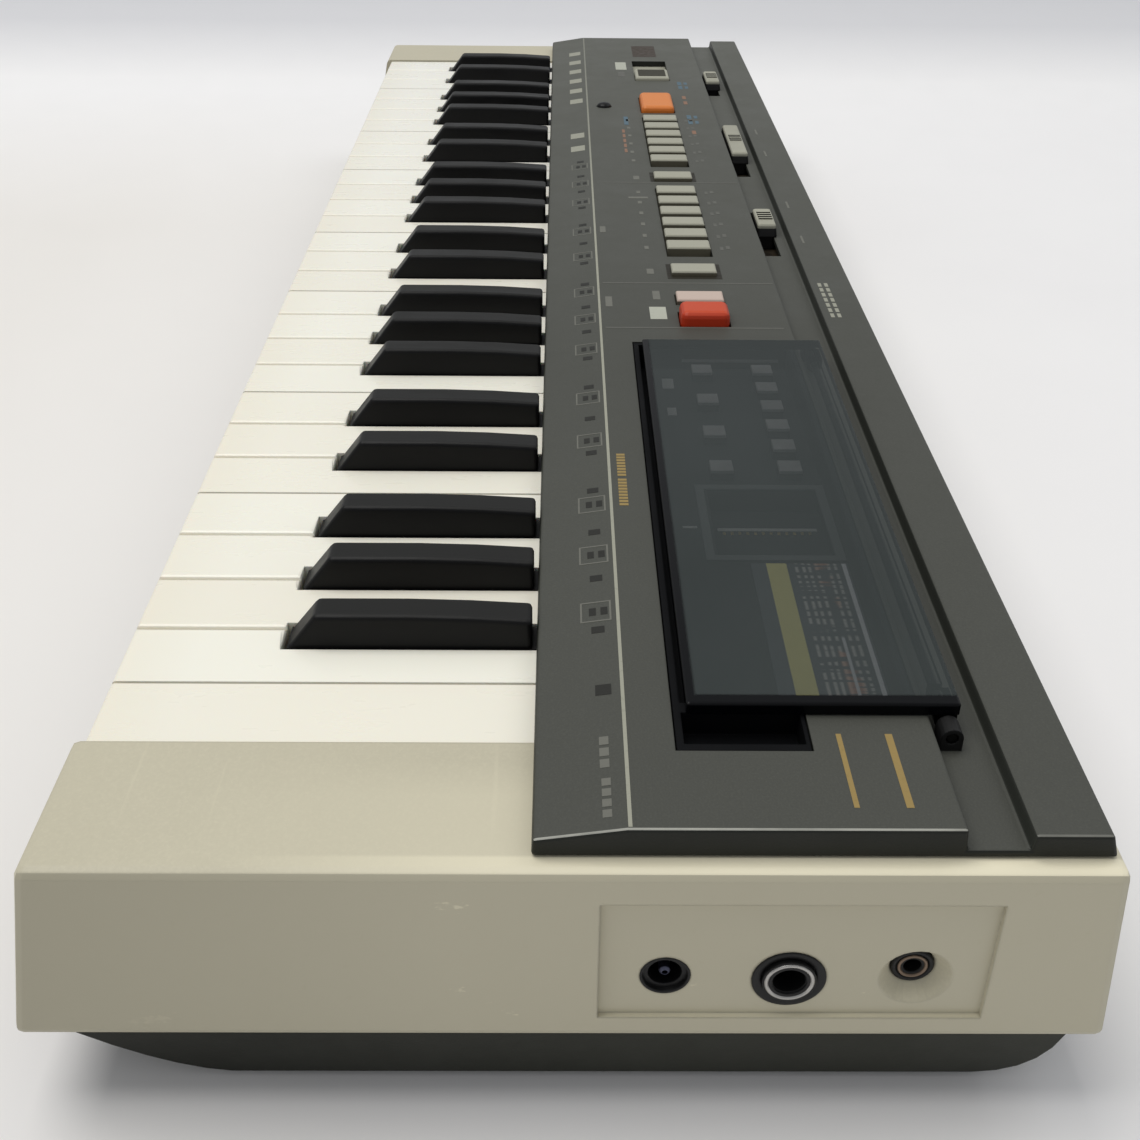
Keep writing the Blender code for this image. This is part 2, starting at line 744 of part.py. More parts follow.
def jack_holes():
    """A through hole for each socket, and a wide sink round the small one."""
    inner_x = bay_wall_x() - MM
    bay_x = near_x - BAY_RECESS
    outer_x = near_x + MM
    dc_hole = rod("dc_hole", cutters, "X", jack_centre(DC_ALONG, DC_HEIGHT), inner_x, outer_x,
                  DC_HOLE)
    phones_hole = rod("phones_hole", cutters, "X", jack_centre(PHONES_ALONG, PHONES_HEIGHT),
                      inner_x, outer_x, PHONES_HOLE, sides=28)
    output = jack_centre(OUTPUT_ALONG, OUTPUT_HEIGHT)
    output_hole = rod("output_hole", cutters, "X", output, inner_x, outer_x, OUTPUT_HOLE)
    flare = (OUTPUT_SINK - OUTPUT_HOLE) / OUTPUT_SINK_DEPTH
    output_sink = rod("output_sink", cutters, "X", output, bay_x - OUTPUT_SINK_DEPTH, bay_x + MM,
                      OUTPUT_HOLE, OUTPUT_SINK + flare * MM, sides=28)
    return dc_hole, phones_hole, output_hole, output_sink


def keel_outline(inset=0.0, lift=0.0):
    """The tray's section below the case: a long rising keel in front and a short one behind."""
    front = front_y + KEEL_FRONT_INSET + inset
    rear = rear_y - KEEL_REAR_INSET - inset
    low = tray_z + inset
    rim = tray_rim_z + lift
    front_low = front + KEEL_FRONT_RUN - inset / 2
    rear_low = rear - KEEL_REAR_RUN + inset / 2
    front_pull = (front + 0.55 * KEEL_FRONT_RUN, low + 0.1 * TRAY_HEIGHT)
    rear_pull = (rear - 0.08 * KEEL_REAR_RUN, low + 0.03 * TRAY_HEIGHT)
    rise = curve_points((front, rim), front_pull, (front_low, low))
    fall = curve_points((rear_low, low), rear_pull, (rear, rim))
    return rise + fall


def slope_ends(bm, inset):
    """Trims both ends of a tray solid to planes that lean inward towards the bottom."""
    lean = math.atan2(KEEL_END_RUN, TRAY_HEIGHT)
    for side, x in ((1, near_x), (-1, far_x)):
        point = Vector((x - side * (KEEL_END_INSET + inset), 0, tray_rim_z))
        normal = Vector((side * math.cos(lean), 0, -math.sin(lean)))
        geom = bm.verts[:] + bm.edges[:] + bm.faces[:]
        done = bmesh.ops.bisect_plane(bm, geom=geom, plane_co=point, plane_no=normal,
                                      clear_outer=True)
        rim = [part for part in done["geom_cut"] if isinstance(part, bmesh.types.BMEdge)]
        bmesh.ops.holes_fill(bm, edges=rim, sides=0)


def tray_flange():
    """The plate round the tray's rim that the upper case stands on."""
    return box("tray_flange", cutters,
               (far_x + FLANGE_END_INSET, front_y + FLANGE_INSET, tray_rim_z - TRAY_WALL),
               (near_x - FLANGE_END_INSET, rear_y - FLANGE_INSET, tray_rim_z))


def lower_case():
    bm = bmesh.new()
    add_prism(bm, keel_outline(), "X", far_x, near_x)
    slope_ends(bm, 0.0)
    tray = mesh_object(bm, "lower_case", parts, looks["dark_case"])
    bm = bmesh.new()
    add_prism(bm, keel_outline(TRAY_WALL, MM), "X", far_x, near_x)
    slope_ends(bm, TRAY_WALL)
    hollow = mesh_object(bm, "tray_hollow", cutters)
    join(tray, tray_flange())
    cut(tray, hollow)
    join(tray, battery_well())
    cut(tray, battery_mouth(), *grille_slots())
    join(tray, feet())
    return tray


def feet():
    """Four moulded feet, drawn as one helper with four discs."""
    bm = bmesh.new()
    for x in (far_x + FOOT_END_INSET, near_x - FOOT_END_INSET):
        for y in (front_y + FOOT_FRONT_INSET, rear_y - FOOT_REAR_INSET):
            add_rod(bm, "Z", (x, y), 0, tray_z + TRAY_WALL / 2, FOOT_RADIUS, sides=20)
    return mesh_object(bm, "feet", cutters)


def door_front_y():
    return front_y + CHASSIS_FRONT_LEG + CHASSIS_FLANGE + TRAY_WALL + DOOR_CLEAR


def door_rear_y():
    """The battery room fills the space between the chassis's two legs."""
    return shelf_rear_y - CHASSIS_CLEAR - TRAY_WALL


def battery_well():
    """The walls that part the battery room from the rest of the tray."""
    low = (DOOR_X - DOOR_LENGTH / 2 - TRAY_WALL, door_front_y() - TRAY_WALL, tray_z + MM)
    high = (DOOR_X + DOOR_LENGTH / 2 + TRAY_WALL, door_rear_y() + TRAY_WALL,
            tray_z + WELL_HEIGHT)
    return box("battery_well", cutters, low, high)


def battery_mouth():
    """The battery room, with a step inside its mouth that the door seats in."""
    room = ((DOOR_X - DOOR_LENGTH / 2 + DOOR_LIP, door_front_y() + DOOR_LIP, tray_z - MM),
            (DOOR_X + DOOR_LENGTH / 2 - DOOR_LIP, door_rear_y() - DOOR_LIP,
             tray_z + WELL_HEIGHT - TRAY_WALL))
    step = box("battery_step", cutters,
               (DOOR_X - DOOR_LENGTH / 2, door_front_y(), tray_z - 2 * MM),
               (DOOR_X + DOOR_LENGTH / 2, door_rear_y(), tray_z + DOOR_SHEET + GAP))
    mouth = box("battery_mouth", cutters, *room)
    join(mouth, step)
    return mouth


def battery_door():
    """A loose cover in the step, with grip ribs and two hooks along one edge."""
    low = (DOOR_X - DOOR_LENGTH / 2 + GAP, door_front_y() + GAP, tray_z)
    high = (DOOR_X + DOOR_LENGTH / 2 - GAP, door_rear_y() - GAP, tray_z + DOOR_SHEET)
    door = box("battery_door", parts, low, high, looks["dark_case"])
    ribs = []
    for step in range(DOOR_RIBS):
        x = DOOR_X + (step - (DOOR_RIBS - 1) / 2) * DOOR_RIB_PITCH
        rib_y = door_front_y() + DOOR_RIB_INSET
        ribs.append(((x - DOOR_RIB_WIDTH / 2, rib_y, tray_z - DOOR_RIB_STAND),
                     (x + DOOR_RIB_WIDTH / 2, rib_y + DOOR_RIB_LENGTH, tray_z + DOOR_SHEET / 2)))
    join(door, boxes("door_ribs", cutters, ribs))
    hooks = []
    for x in (DOOR_X - DOOR_LENGTH / 4, DOOR_X + DOOR_LENGTH / 4):
        y = door_rear_y() - DOOR_LIP - GAP - HOOK_SHEET
        hooks.append(((x - HOOK_LENGTH / 2, y, tray_z + DOOR_SHEET / 2),
                      (x + HOOK_LENGTH / 2, y + HOOK_SHEET, tray_z + HOOK_HEIGHT)))
    join(door, boxes("door_hooks", cutters, hooks))
    return door


def speaker_y():
    return front_y + CHASSIS_FRONT_LEG + SPEAKER_BEHIND_LEG


def grille_slots():
    """Slots in the floor under the speaker, longer towards the middle."""
    found = []
    for index in range(GRILLE_SLOTS):
        offset = (index - (GRILLE_SLOTS - 1) / 2) * GRILLE_PITCH
        reach = math.sqrt((SPEAKER_RADIUS - 6 * MM) ** 2 - offset ** 2)
        x = SPEAKER_X + offset
        found.append(((x - GRILLE_SLOT / 2, speaker_y() - reach, tray_z - MM),
                      (x + GRILLE_SLOT / 2, speaker_y() + reach, tray_z + TRAY_WALL + MM)))
    return [boxes("grille_slots", cutters, found)]


def speaker():
    """A round speaker that faces down, with a rim, a basket, a magnet and a cone."""
    low = tray_z + TRAY_WALL + GAP
    r = SPEAKER_RADIUS
    h = SPEAKER_HEIGHT
    profile = [(0, h), (0.48 * r, h), (0.48 * r, 0.62 * h), (0.58 * r, 0.6 * h), (0.92 * r, 0.16 * h),
               (r, 0.14 * h), (r, 0), (0.86 * r, 0), (0.3 * r, 0.34 * h), (0.14 * r, 0.24 * h),
               (0, 0.22 * h)]
    mesh = bpy.data.meshes.new("speaker")
    points = [(radius, 0, low + z) for radius, z in profile]
    mesh.from_pydata(points, [(i, i + 1) for i in range(len(points) - 1)], [])
    made = bpy.data.objects.new("speaker", mesh)
    parts.objects.link(made)
    mesh.materials.append(looks["speaker"])
    made.location = (SPEAKER_X, speaker_y(), 0)
    turned = made.modifiers.new("turned", "SCREW")
    turned.steps = 28
    turned.render_steps = 28
    turned.use_merge_vertices = True
    turned.merge_threshold = 1e-5
    return made


def panel_outline():
    """The panel's outer section: lip, slope, flat, groove and rear bar."""
    return [
        (panel_foot_y, panel_z),
        (panel_rear_y, panel_z),
        (panel_rear_y - BAR_REAR_LEAN, bar_z),
        (bar_y + BAR_LEAN, bar_z),
        (bar_y, groove_z),
        (groove_y, groove_z),
        (flat_rear_y, flat_z),
        (crease_y, flat_z),
        (panel_y, panel_z + PANEL_FRONT_RISE),
    ]


def panel_hollow():
    """The room under the panel, open below and as thick-skinned everywhere as its wall."""
    low = panel_z - MM
    slope_z = panel_z + PANEL_FRONT_RISE - PANEL_WALL
    return [
        (panel_foot_y + PANEL_WALL, low),
        (panel_rear_y - PANEL_WALL, low),
        (panel_rear_y - PANEL_WALL - MM, bar_z - PANEL_WALL),
        (bar_y + PANEL_WALL, bar_z - PANEL_WALL),
        (bar_y + PANEL_WALL - MM, low + 0.5 * MM),
        (groove_y - PANEL_WALL, low + 0.5 * MM),
        (flat_rear_y - PANEL_WALL, under_panel_z),
        (crease_y, under_panel_z),
        (panel_foot_y + PANEL_WALL + 0.4 * MM, slope_z),
    ]


def window(x_low, x_high, width=BAR_LENGTH, y=None):
    middle = button_y if y is None else y
    half = width / 2 + RUNNING_GAP
    return ((x_low, middle - half, panel_z - 2 * MM), (x_high, middle + half, flat_z + MM))


def bank_window(first_x):
    last_x = first_x + (BARS_IN_BANK - 1) * BAR_PITCH
    return window(first_x - BAR_WIDTH / 2 - BANK_MARGIN, last_x + BAR_WIDTH / 2 + BANK_NEAR_MARGIN)


def bar_window(x, width):
    return window(x - width / 2 - RUNNING_GAP, x + width / 2 + RUNNING_GAP)


def slider_slot(x, length, back, ahead):
    """The slot that a slider's stem runs in."""
    reach = STEM_LENGTH / 2 + RUNNING_GAP
    stem_x = x + length / 2 - STEM_LENGTH / 2 - STEM_SETBACK
    half = SLOT_WIDTH / 2
    return ((stem_x - reach - back, slider_y - half, under_groove_z - 2 * MM),
            (stem_x + reach + ahead, slider_y + half, groove_z + 0.8 * MM))


def control_panel():
    bm = bmesh.new()
    add_prism(bm, panel_outline(), "X", panel_far_x, panel_near_x)
    panel = mesh_object(bm, "control_panel", parts, looks["panel"])
    soften(panel, PANEL_EDGE_ROUND, 2, 40)
    cut(panel, prism("panel_hollow", cutters, panel_hollow(), "X",
                     panel_far_x + PANEL_WALL, panel_near_x - PANEL_WALL))
    windows = [bank_window(TONE_FIRST_X), bank_window(RHYTHM_FIRST_X),
               bar_window(TONE_SINGLE_X, BAR_WIDTH), bar_window(TONE_SHIFT_X, BAR_WIDTH),
               bar_window(RHYTHM_SINGLE_X, BAR_WIDTH), bar_window(START_X, START_WIDTH),
               bar_window(CHORD_X, CHORD_WIDTH),
               window(POWER_SLOT_FAR_X, POWER_SLOT_FAR_X + POWER_SLOT_LENGTH,
                      POWER_SLOT_WIDTH - 2 * RUNNING_GAP, power_y())]
    cut(panel, boxes("button_windows", cutters, windows))
    slots = [slider_slot(VOLUME_X, VOLUME_LENGTH, SLIDER_TRAVEL, SLIDER_TRAVEL),
             slider_slot(MODE_X, MODE_LENGTH, 0.0, MODE_TRAVEL),
             slider_slot(TEMPO_X, TEMPO_LENGTH, SLIDER_TRAVEL, TEMPO_TRAVEL)]
    cut(panel, boxes("slider_slots", cutters, slots))
    cut(panel, bay_mouth(GAP, "bay_mouth", panel_z - 3 * MM, flat_z + MM))
    cut(panel, rod("round_window", cutters, "Z", (WINDOW_X, crease_y + WINDOW_OFFSET),
                   flat_z - WINDOW_SINK, flat_z + MM, WINDOW_RADIUS))
    join(panel, board_posts(), hinge_lugs())
    cut(panel, rod("lug_bore", cutters, "X", (hinge_y, hinge_z), LID_FAR_X - 2 * LUG_LENGTH,
                   lid_near_x + 2 * LUG_LENGTH, HINGE_ROD + GAP, sides=12))
    return panel


def board_posts():
    """Posts under the flat that the circuit board is screwed to."""
    bm = bmesh.new()
    last_x = LID_FAR_X - BAY_SIDE_SHOW - BAY_FLANGE - POST_RADIUS - MM
    for index in range(POSTS):
        x = last_x - index * POST_SPACING
        add_rod(bm, "Z", (x, flat_rear_y - 9 * MM), board_top_z + GAP, flat_z - PANEL_WALL / 2,
                POST_RADIUS, sides=12)
    return mesh_object(bm, "board_posts", cutters)


def hinge_lugs():
    """A rounded lug in the groove at each end of the lid."""
    bm = bmesh.new()
    for x in (LID_FAR_X - LID_SIDE_PLAY - LUG_LENGTH, lid_near_x + LID_SIDE_PLAY):
        top = arc_points((hinge_y, hinge_z), KNUCKLE_RADIUS, 0, 180, 8)
        foot_z = groove_z - PANEL_WALL / 2
        outline = [(hinge_y - KNUCKLE_RADIUS, foot_z), (hinge_y + KNUCKLE_RADIUS, foot_z)] + top
        add_prism(bm, outline, "X", x, x + LUG_LENGTH)
    return mesh_object(bm, "hinge_lugs", cutters)


def bay_outline(grow):
    """The pack bay from above, with the finger scoop beside the lid's treble edge."""
    far = LID_FAR_X - BAY_SIDE_SHOW - grow
    near = lid_near_x - BAY_INSET + grow
    front = lid_front_y - BAY_FRONT_SHOW - grow
    rear = flat_rear_y - BAY_REAR_INSET + grow
    scoop_near = near + SCOOP_LENGTH
    scoop_rear = front + SCOOP_WIDTH + 2 * grow
    return [(far, front), (scoop_near, front), (scoop_near, scoop_rear), (near, scoop_rear),
            (near, rear), (far, rear)]


def bay_mouth(grow, name, low_z, high_z):
    return prism(name, cutters, bay_outline(grow), "Z", low_z, high_z)


def bay_floor_z():
    return flat_z - BAY_DROP


def pack_tray():
    """A dark insert under the lid: bay, pack pocket, finger scoop and program buttons."""
    rim_z = flat_z - 0.2 * MM
    low_z = bay_floor_z() - BAY_WALL
    tray = prism("pack_tray", parts, bay_outline(0.0), "Z", low_z, rim_z, looks["bay"])
    flange = prism("bay_flange", cutters, bay_outline(BAY_FLANGE), "Z",
                   under_panel_z - GAP - BAY_WALL, under_panel_z - GAP)
    rear_limit = box("flange_limit", cutters,
                     (LID_FAR_X - 20 * MM, flat_rear_y - PANEL_WALL - 2 * GAP, low_z - MM),
                     (lid_near_x + 20 * MM, bar_y, flat_z))
    cut(flange, rear_limit)
    join(tray, flange)
    far = LID_FAR_X - BAY_SIDE_SHOW
    near = lid_near_x - BAY_INSET
    front = lid_front_y - BAY_FRONT_SHOW
    rear = flat_rear_y - BAY_REAR_INSET
    room = box("bay_room", cutters, (far + BAY_WALL, front + BAY_WALL, bay_floor_z()),
               (near - BAY_WALL, rear - BAY_WALL, flat_z + MM))
    pocket_body = box("pocket_body", cutters,
                      (POCKET_X - POCKET_LENGTH / 2 - BAY_WALL, pocket_y() - BAY_WALL,
                       bay_floor_z() - POCKET_DROP - BAY_WALL),
                      (POCKET_X + POCKET_LENGTH / 2 + BAY_WALL,
                       pocket_y() + POCKET_WIDTH + BAY_WALL, bay_floor_z() - GAP))
    pocket = box("pocket", cutters,
                 (POCKET_X - POCKET_LENGTH / 2, pocket_y(), bay_floor_z() - POCKET_DROP),
                 (POCKET_X + POCKET_LENGTH / 2, pocket_y() + POCKET_WIDTH, flat_z))
    join(tray, pocket_body)
    cut(tray, room, pocket, finger_scoop())
    join(tray, program_buttons())
    return tray


def pocket_y():
    return flat_rear_y - BAY_REAR_INSET - BAY_WALL - POCKET_REAR_GAP - POCKET_WIDTH


def finger_scoop():
    """A ramp that runs down under the lid's treble edge."""
    near = lid_near_x - BAY_INSET
    front = lid_front_y - BAY_FRONT_SHOW
    end = near + SCOOP_LENGTH - SCOOP_RIM
    bm = bmesh.new()
    verts = add_box(bm, (near + BAY_WALL, front + BAY_WALL, flat_z - SCOOP_DROP),
                    (end, front + SCOOP_WIDTH - SCOOP_RIM, flat_z + MM))
    for vert in verts:
        if vert.co.x > end - MM and vert.co.z < flat_z:
            vert.co.x -= SCOOP_RAMP
    return mesh_object(bm, "finger_scoop", cutters)


def program_buttons():
    """The small raised buttons on the bay's floor, beside the pocket."""
    low = bay_floor_z() - BAY_WALL / 2
    high = bay_floor_z() + PROGRAM_STAND
    half = PROGRAM_BUTTON / 2
    front = lid_front_y - BAY_FRONT_SHOW + BAY_WALL
    depth = flat_rear_y - BAY_REAR_INSET - BAY_WALL - front
    first = LID_FAR_X - BAY_SIDE_SHOW + BAY_WALL + PROGRAM_MARGIN
    last = POCKET_X - POCKET_LENGTH / 2 - BAY_WALL - PROGRAM_MARGIN
    pairs = []
    for count, share in PROGRAM_ROWS:
        y = front + share * depth
        for step in range(count):
            x = first + (last - first) * step / (count - 1)
            pairs.append(((x - half, y - half, low), (x + half, y + half, high)))
    return boxes("program_buttons", cutters, pairs)


def pack_lid():
    """A smoked cover: a plate with a skirt, and two knuckles on its hinge."""
    low = (LID_FAR_X, lid_front_y, lid_low_z)
    high = (lid_near_x, lid_rear_y, lid_top_z)
    bm = bmesh.new()
    add_box(bm, low, high)
    bmesh.ops.recalc_face_normals(bm, faces=bm.faces)
    edges = [edge for edge in bm.edges if max(v.co.z for v in edge.verts) > lid_low_z + MM]
    bmesh.ops.bevel(bm, geom=edges, offset=LID_ROUND, segments=2, profile=0.5, affect="EDGES")
    bmesh.ops.translate(bm, verts=bm.verts, vec=(0, -hinge_y, -hinge_z))
    lid = mesh_object(bm, "pack_lid", parts, looks["smoked"])
    lid.location = (0, hinge_y, hinge_z)
    room = box("lid_room", cutters,
               (low[0] + LID_WALL, low[1] + LID_WALL, low[2] - MM),
               (high[0] - LID_WALL, high[1] - LID_WALL, lid_top_z - LID_WALL))
    cut(lid, room)
    join(lid, lid_knuckles())
    cut(lid, rod("knuckle_bore", cutters, "X", (hinge_y, hinge_z), LID_FAR_X - MM,
                 lid_near_x + MM, HINGE_ROD + GAP, sides=12))
    return lid


def lid_knuckles():
    """The lid's two knuckles, each a barrel with a neck up to the plate."""
    bm = bmesh.new()
    inner = LID_WALL / 2
    for x in (LID_FAR_X + inner, lid_near_x - inner - KNUCKLE_LENGTH):
        low = arc_points((hinge_y, hinge_z), KNUCKLE_RADIUS, 180, 360, 8)
        neck_z = lid_top_z - LID_WALL / 2
        outline = low + [(hinge_y + KNUCKLE_RADIUS, neck_z), (hinge_y - KNUCKLE_RADIUS, neck_z)]
        add_prism(bm, outline, "X", x, x + KNUCKLE_LENGTH)
    return mesh_object(bm, "lid_knuckles", cutters)


def hinge_rod():
    """The steel rod through the lugs and the lid's knuckles."""
    end = LUG_LENGTH + LID_SIDE_PLAY - GAP
    return rod("hinge_rod", parts, "X", (hinge_y, hinge_z), LID_FAR_X - end, lid_near_x + end,
               HINGE_ROD, sides=12, look=looks["steel"])


def button_bars(name, centres, look):
    """Button bars moulded on one comb plate that lies on the circuit board."""
    low_z = board_top_z + GAP
    plate_z = low_z + 1.5 * MM
    first = min(centres) - BAR_WIDTH / 2
    last = max(centres) + BAR_WIDTH / 2
    plate = box(name, parts, (first, button_y - BAR_LENGTH / 2 - MM, low_z),
                (last, button_y + BAR_LENGTH / 2 + MM, plate_z), look)
    bm = bmesh.new()
    for x in centres:
        add_box(bm, (x - BAR_WIDTH / 2 + GAP / 2, button_y - BAR_LENGTH / 2, plate_z - MM),
                (x + BAR_WIDTH / 2 - GAP / 2, button_y + BAR_LENGTH / 2, flat_z + BAR_STAND))
    edges = [edge for edge in bm.edges
             if all(v.co.z > flat_z + BAR_STAND - MM / 10 for v in edge.verts)]
    bmesh.ops.bevel(bm, geom=edges, offset=BAR_ROUND, segments=2, profile=0.5, affect="EDGES")
    join(plate, mesh_object(bm, name + "_bars", cutters))
    return plate


def bank_centres(first_x, *others):
    return [first_x + step * BAR_PITCH for step in range(BARS_IN_BANK)] + list(others)


def push_button(name, x, width, stand, look):
    """A button that slides in its window, held by a flange under the panel."""
    low_z = board_top_z + BUTTON_TRAVEL + GAP
    top_z = flat_z + stand
    bm = bmesh.new()
    add_box(bm, (x - width / 2, button_y - BAR_LENGTH / 2, low_z),
            (x + width / 2, button_y + BAR_LENGTH / 2, top_z))
    edges = [edge for edge in bm.edges if max(v.co.z for v in edge.verts) > top_z - MM / 10]
    bmesh.ops.bevel(bm, geom=edges, offset=BUTTON_ROUND, segments=3, profile=0.5, affect="EDGES")
    button = mesh_object(bm, name, parts, look)
    flange_z = under_panel_z - GAP
    flange = box(name + "_flange", cutters,
                 (x - width / 2 - BUTTON_FLANGE, button_y - BAR_LENGTH / 2 - BUTTON_FLANGE,
                  flange_z - 1.2 * MM),
                 (x + width / 2 + BUTTON_FLANGE, button_y + BAR_LENGTH / 2 + BUTTON_FLANGE,
                  flange_z))
    join(button, flange)
    return button


def power_y():
    return button_y + POWER_SLOT_OFFSET


def power_travel():
    return POWER_SLOT_LENGTH - POWER_KNOB_LENGTH - 2 * RUNNING_GAP


def power_switch():
    """A knob that slides along X, with a skirt that closes its slot from below."""
    near = POWER_SLOT_FAR_X + POWER_SLOT_LENGTH - RUNNING_GAP
    far = near - POWER_KNOB_LENGTH
    half = POWER_SLOT_WIDTH / 2 - RUNNING_GAP
    y = power_y()
    bm = bmesh.new()
    skirt_z = under_panel_z - GAP
    top = flat_z + POWER_STAND
    add_box(bm, (far, y - half, skirt_z - MM), (near, y + half, top))
    edges = [edge for edge in bm.edges if all(v.co.z > top - MM / 10 for v in edge.verts)]
    bmesh.ops.bevel(bm, geom=edges, offset=0.8 * MM, segments=2, profile=0.5, affect="EDGES")
    knob = mesh_object(bm, "power_switch", parts, looks["light_plastic"])
    skirt = box("power_skirt", cutters,
                (POWER_SLOT_FAR_X - BUTTON_FLANGE, y - half - BUTTON_FLANGE, skirt_z - 1.5 * MM),
                (near + power_travel() + BUTTON_FLANGE, y + half + BUTTON_FLANGE, skirt_z))
    stem = box("power_stem", cutters,
               (far + 4 * MM, y - 3 * MM, board_top_z + GAP),
               (far + 10 * MM, y + 3 * MM, skirt_z - MM))
    grooves = []
    for step in range(5):
        x = (near + far) / 2 + (step - 2) * 2.6 * MM
        grooves.append(((x - 0.5 * MM, y - half + 1.5 * MM, top - 0.7 * MM),
                        (x + 0.5 * MM, y + half - 1.5 * MM, top + MM)))
    join(knob, skirt, stem)
    cut(knob, boxes("power_grooves", cutters, grooves))
    return knob


def slider_knob(name, x, length, look):
    """A slider: ridged knob, stem through the slot and a flange under the groove."""
    low = groove_z + GAP
    top = groove_z + SLIDER_STAND
    half = SLIDER_WIDTH / 2
    outline_top = top
    bm = bmesh.new()
    verts = add_box(bm, (x - length / 2, slider_y - half, low),
                    (x + length / 2, slider_y + half, outline_top))
    for vert in verts:
        if vert.co.z > low + MM:
            vert.co.x += MM if vert.co.x < x else -MM
            vert.co.y += 0.5 * MM if vert.co.y < slider_y else -0.5 * MM
    edges = [edge for edge in bm.edges if max(v.co.z for v in edge.verts) > low + MM]
    bmesh.ops.bevel(bm, geom=edges, offset=SLIDER_ROUND, segments=2, profile=0.5, affect="EDGES")
    knob = mesh_object(bm, name, parts, look)
    stem_x = x + length / 2 - STEM_LENGTH / 2 - STEM_SETBACK
    stem_half = SLOT_WIDTH / 2 - RUNNING_GAP
    stem = box(name + "_stem", cutters,
               (stem_x - STEM_LENGTH / 2, slider_y - stem_half, board_top_z + GAP),
               (stem_x + STEM_LENGTH / 2, slider_y + stem_half, low + MM))
    flange = box(name + "_flange", cutters,
                 (stem_x - STEM_LENGTH / 2 + GAP, slider_y - half + MM,
                  under_groove_z - GAP - 1.2 * MM),
                 (stem_x + STEM_LENGTH / 2 - GAP, slider_y + half - MM, under_groove_z - GAP))
    ridges = []
    for step in range(RIDGES):
        ridge_x = x + (step - (RIDGES - 1) / 2) * 2.4 * MM
        ridges.append(((ridge_x - RIDGE_WIDTH / 2, slider_y - half + 1.3 * MM, top - MM),
                       (ridge_x + RIDGE_WIDTH / 2, slider_y + half - 1.3 * MM,
                        top + RIDGE_HEIGHT)))
    join(knob, stem, flange, boxes(name + "_ridges", cutters, ridges))
    return knob


def chassis_outline():
    """The folded sheet under the keys: legs, deck, stop, pivot web and comb shelf."""
    t = CHASSIS_SHEET
    floor = tray_z + TRAY_WALL + GAP
    leg_y = front_y + CHASSIS_FRONT_LEG
    stop_y = key_front_y + 6 * MM
    web = t * 0.6
    throat = math.degrees(math.acos(web / PIVOT_RADIUS))
    pivot = arc_points((pivot_y, pivot_z), PIVOT_RADIUS, -throat, 180 + throat, 14)
    return [
        (leg_y, floor),
        (leg_y + CHASSIS_FLANGE, floor),
        (leg_y + CHASSIS_FLANGE, floor + t),
        (leg_y + t, floor + t),
        (leg_y + t, deck_z - t),
        (shelf_rear_y - t, deck_z - t),
        (shelf_rear_y - t, floor),
        (shelf_rear_y + CHASSIS_FLANGE, floor),
        (shelf_rear_y + CHASSIS_FLANGE, floor + t),
        (shelf_rear_y, floor + t),
        (shelf_rear_y, shelf_z),
        (shelf_rear_y - CHASSIS_SHELF, shelf_z),
        (shelf_rear_y - CHASSIS_SHELF, shelf_z - t),
        (shelf_rear_y - t, shelf_z - t),
        (shelf_rear_y - t, deck_z),
        (pivot_y + web, deck_z),
        *pivot,
        (pivot_y - web, deck_z),
        (stop_y + STOP_DEPTH, deck_z),
        (stop_y + STOP_DEPTH, deck_z + STOP_HEIGHT),
        (stop_y, deck_z + STOP_HEIGHT),
        (stop_y, deck_z - t),
        (leg_y, deck_z - t),
    ]


def key_chassis(places):
    """The chassis that carries the keys, with a guide peg under each one."""
    chassis = prism("key_chassis", parts, chassis_outline(), "X", keys_far_x + 2 * MM,
                    keys_near_x - 2 * MM, looks["steel"])
    pegs = []
    for _, kind, _, x in places:
        front = key_front_y if kind == "white" else black_tip_y
        inset = WHITE_PEG_INSET if kind == "white" else BLACK_PEG_INSET
        y = front + inset
        pegs.append(((x - PEG_WIDTH / 2, y - PEG_LENGTH / 2, deck_z - CHASSIS_SHEET / 2),
                     (x + PEG_WIDTH / 2, y + PEG_LENGTH / 2, key_low_z + PEG_REACH)))
    join(chassis, boxes("guide_pegs", cutters, pegs))
    return chassis


def circuit_board():
    """The board under the panel, with a few parts on its lower side."""
    near = LID_FAR_X - 4 * MM
    far = near - BOARD_LENGTH
    front = shelf_rear_y + GAP
    rear = panel_rear_y - PANEL_SEAT - 2 * MM
    board = box("circuit_board", parts, (far, front, board_z), (near, rear, board_top_z),
                looks["board"])
    chips = []
    for step in range(CHIPS):
        x = far + (step + 0.5) / CHIPS * BOARD_LENGTH
        y = front + CHIP_WIDTH
        chips.append(((x - CHIP_LENGTH / 2, y, board_z - CHIP_HEIGHT),
                      (x + CHIP_LENGTH / 2, y + CHIP_WIDTH, board_z + BOARD_SHEET / 2)))
    join(board, boxes("chips", cutters, chips))
    return board


def socket(name, centre, hole, length, width, nose, bore, face_x, pin=0.0):
    """A socket behind the bay's wall, with a nose that stands in its hole."""
    y, z = centre
    inner_x = bay_wall_x() - GAP
    body = box(name, parts, (inner_x - length, y - width / 2, z - hole - 1.2 * MM),
               (inner_x, y + width / 2, z + hole + 1.2 * MM), looks["black_plastic"])
    collar = rod(name + "_nose", cutters, "X", (y, z), inner_x - MM, face_x, nose, sides=24)
    hollow = rod(name + "_bore", cutters, "X", (y, z), inner_x - length + 3 * MM, near_x + MM, bore,
                 sides=20)
    join(body, collar)
    cut(body, hollow)
    if pin:
        join(body, rod(name + "_pin", cutters, "X", (y, z), inner_x - length + MM,
                       face_x - 1.5 * MM, pin, sides=8))
    return body


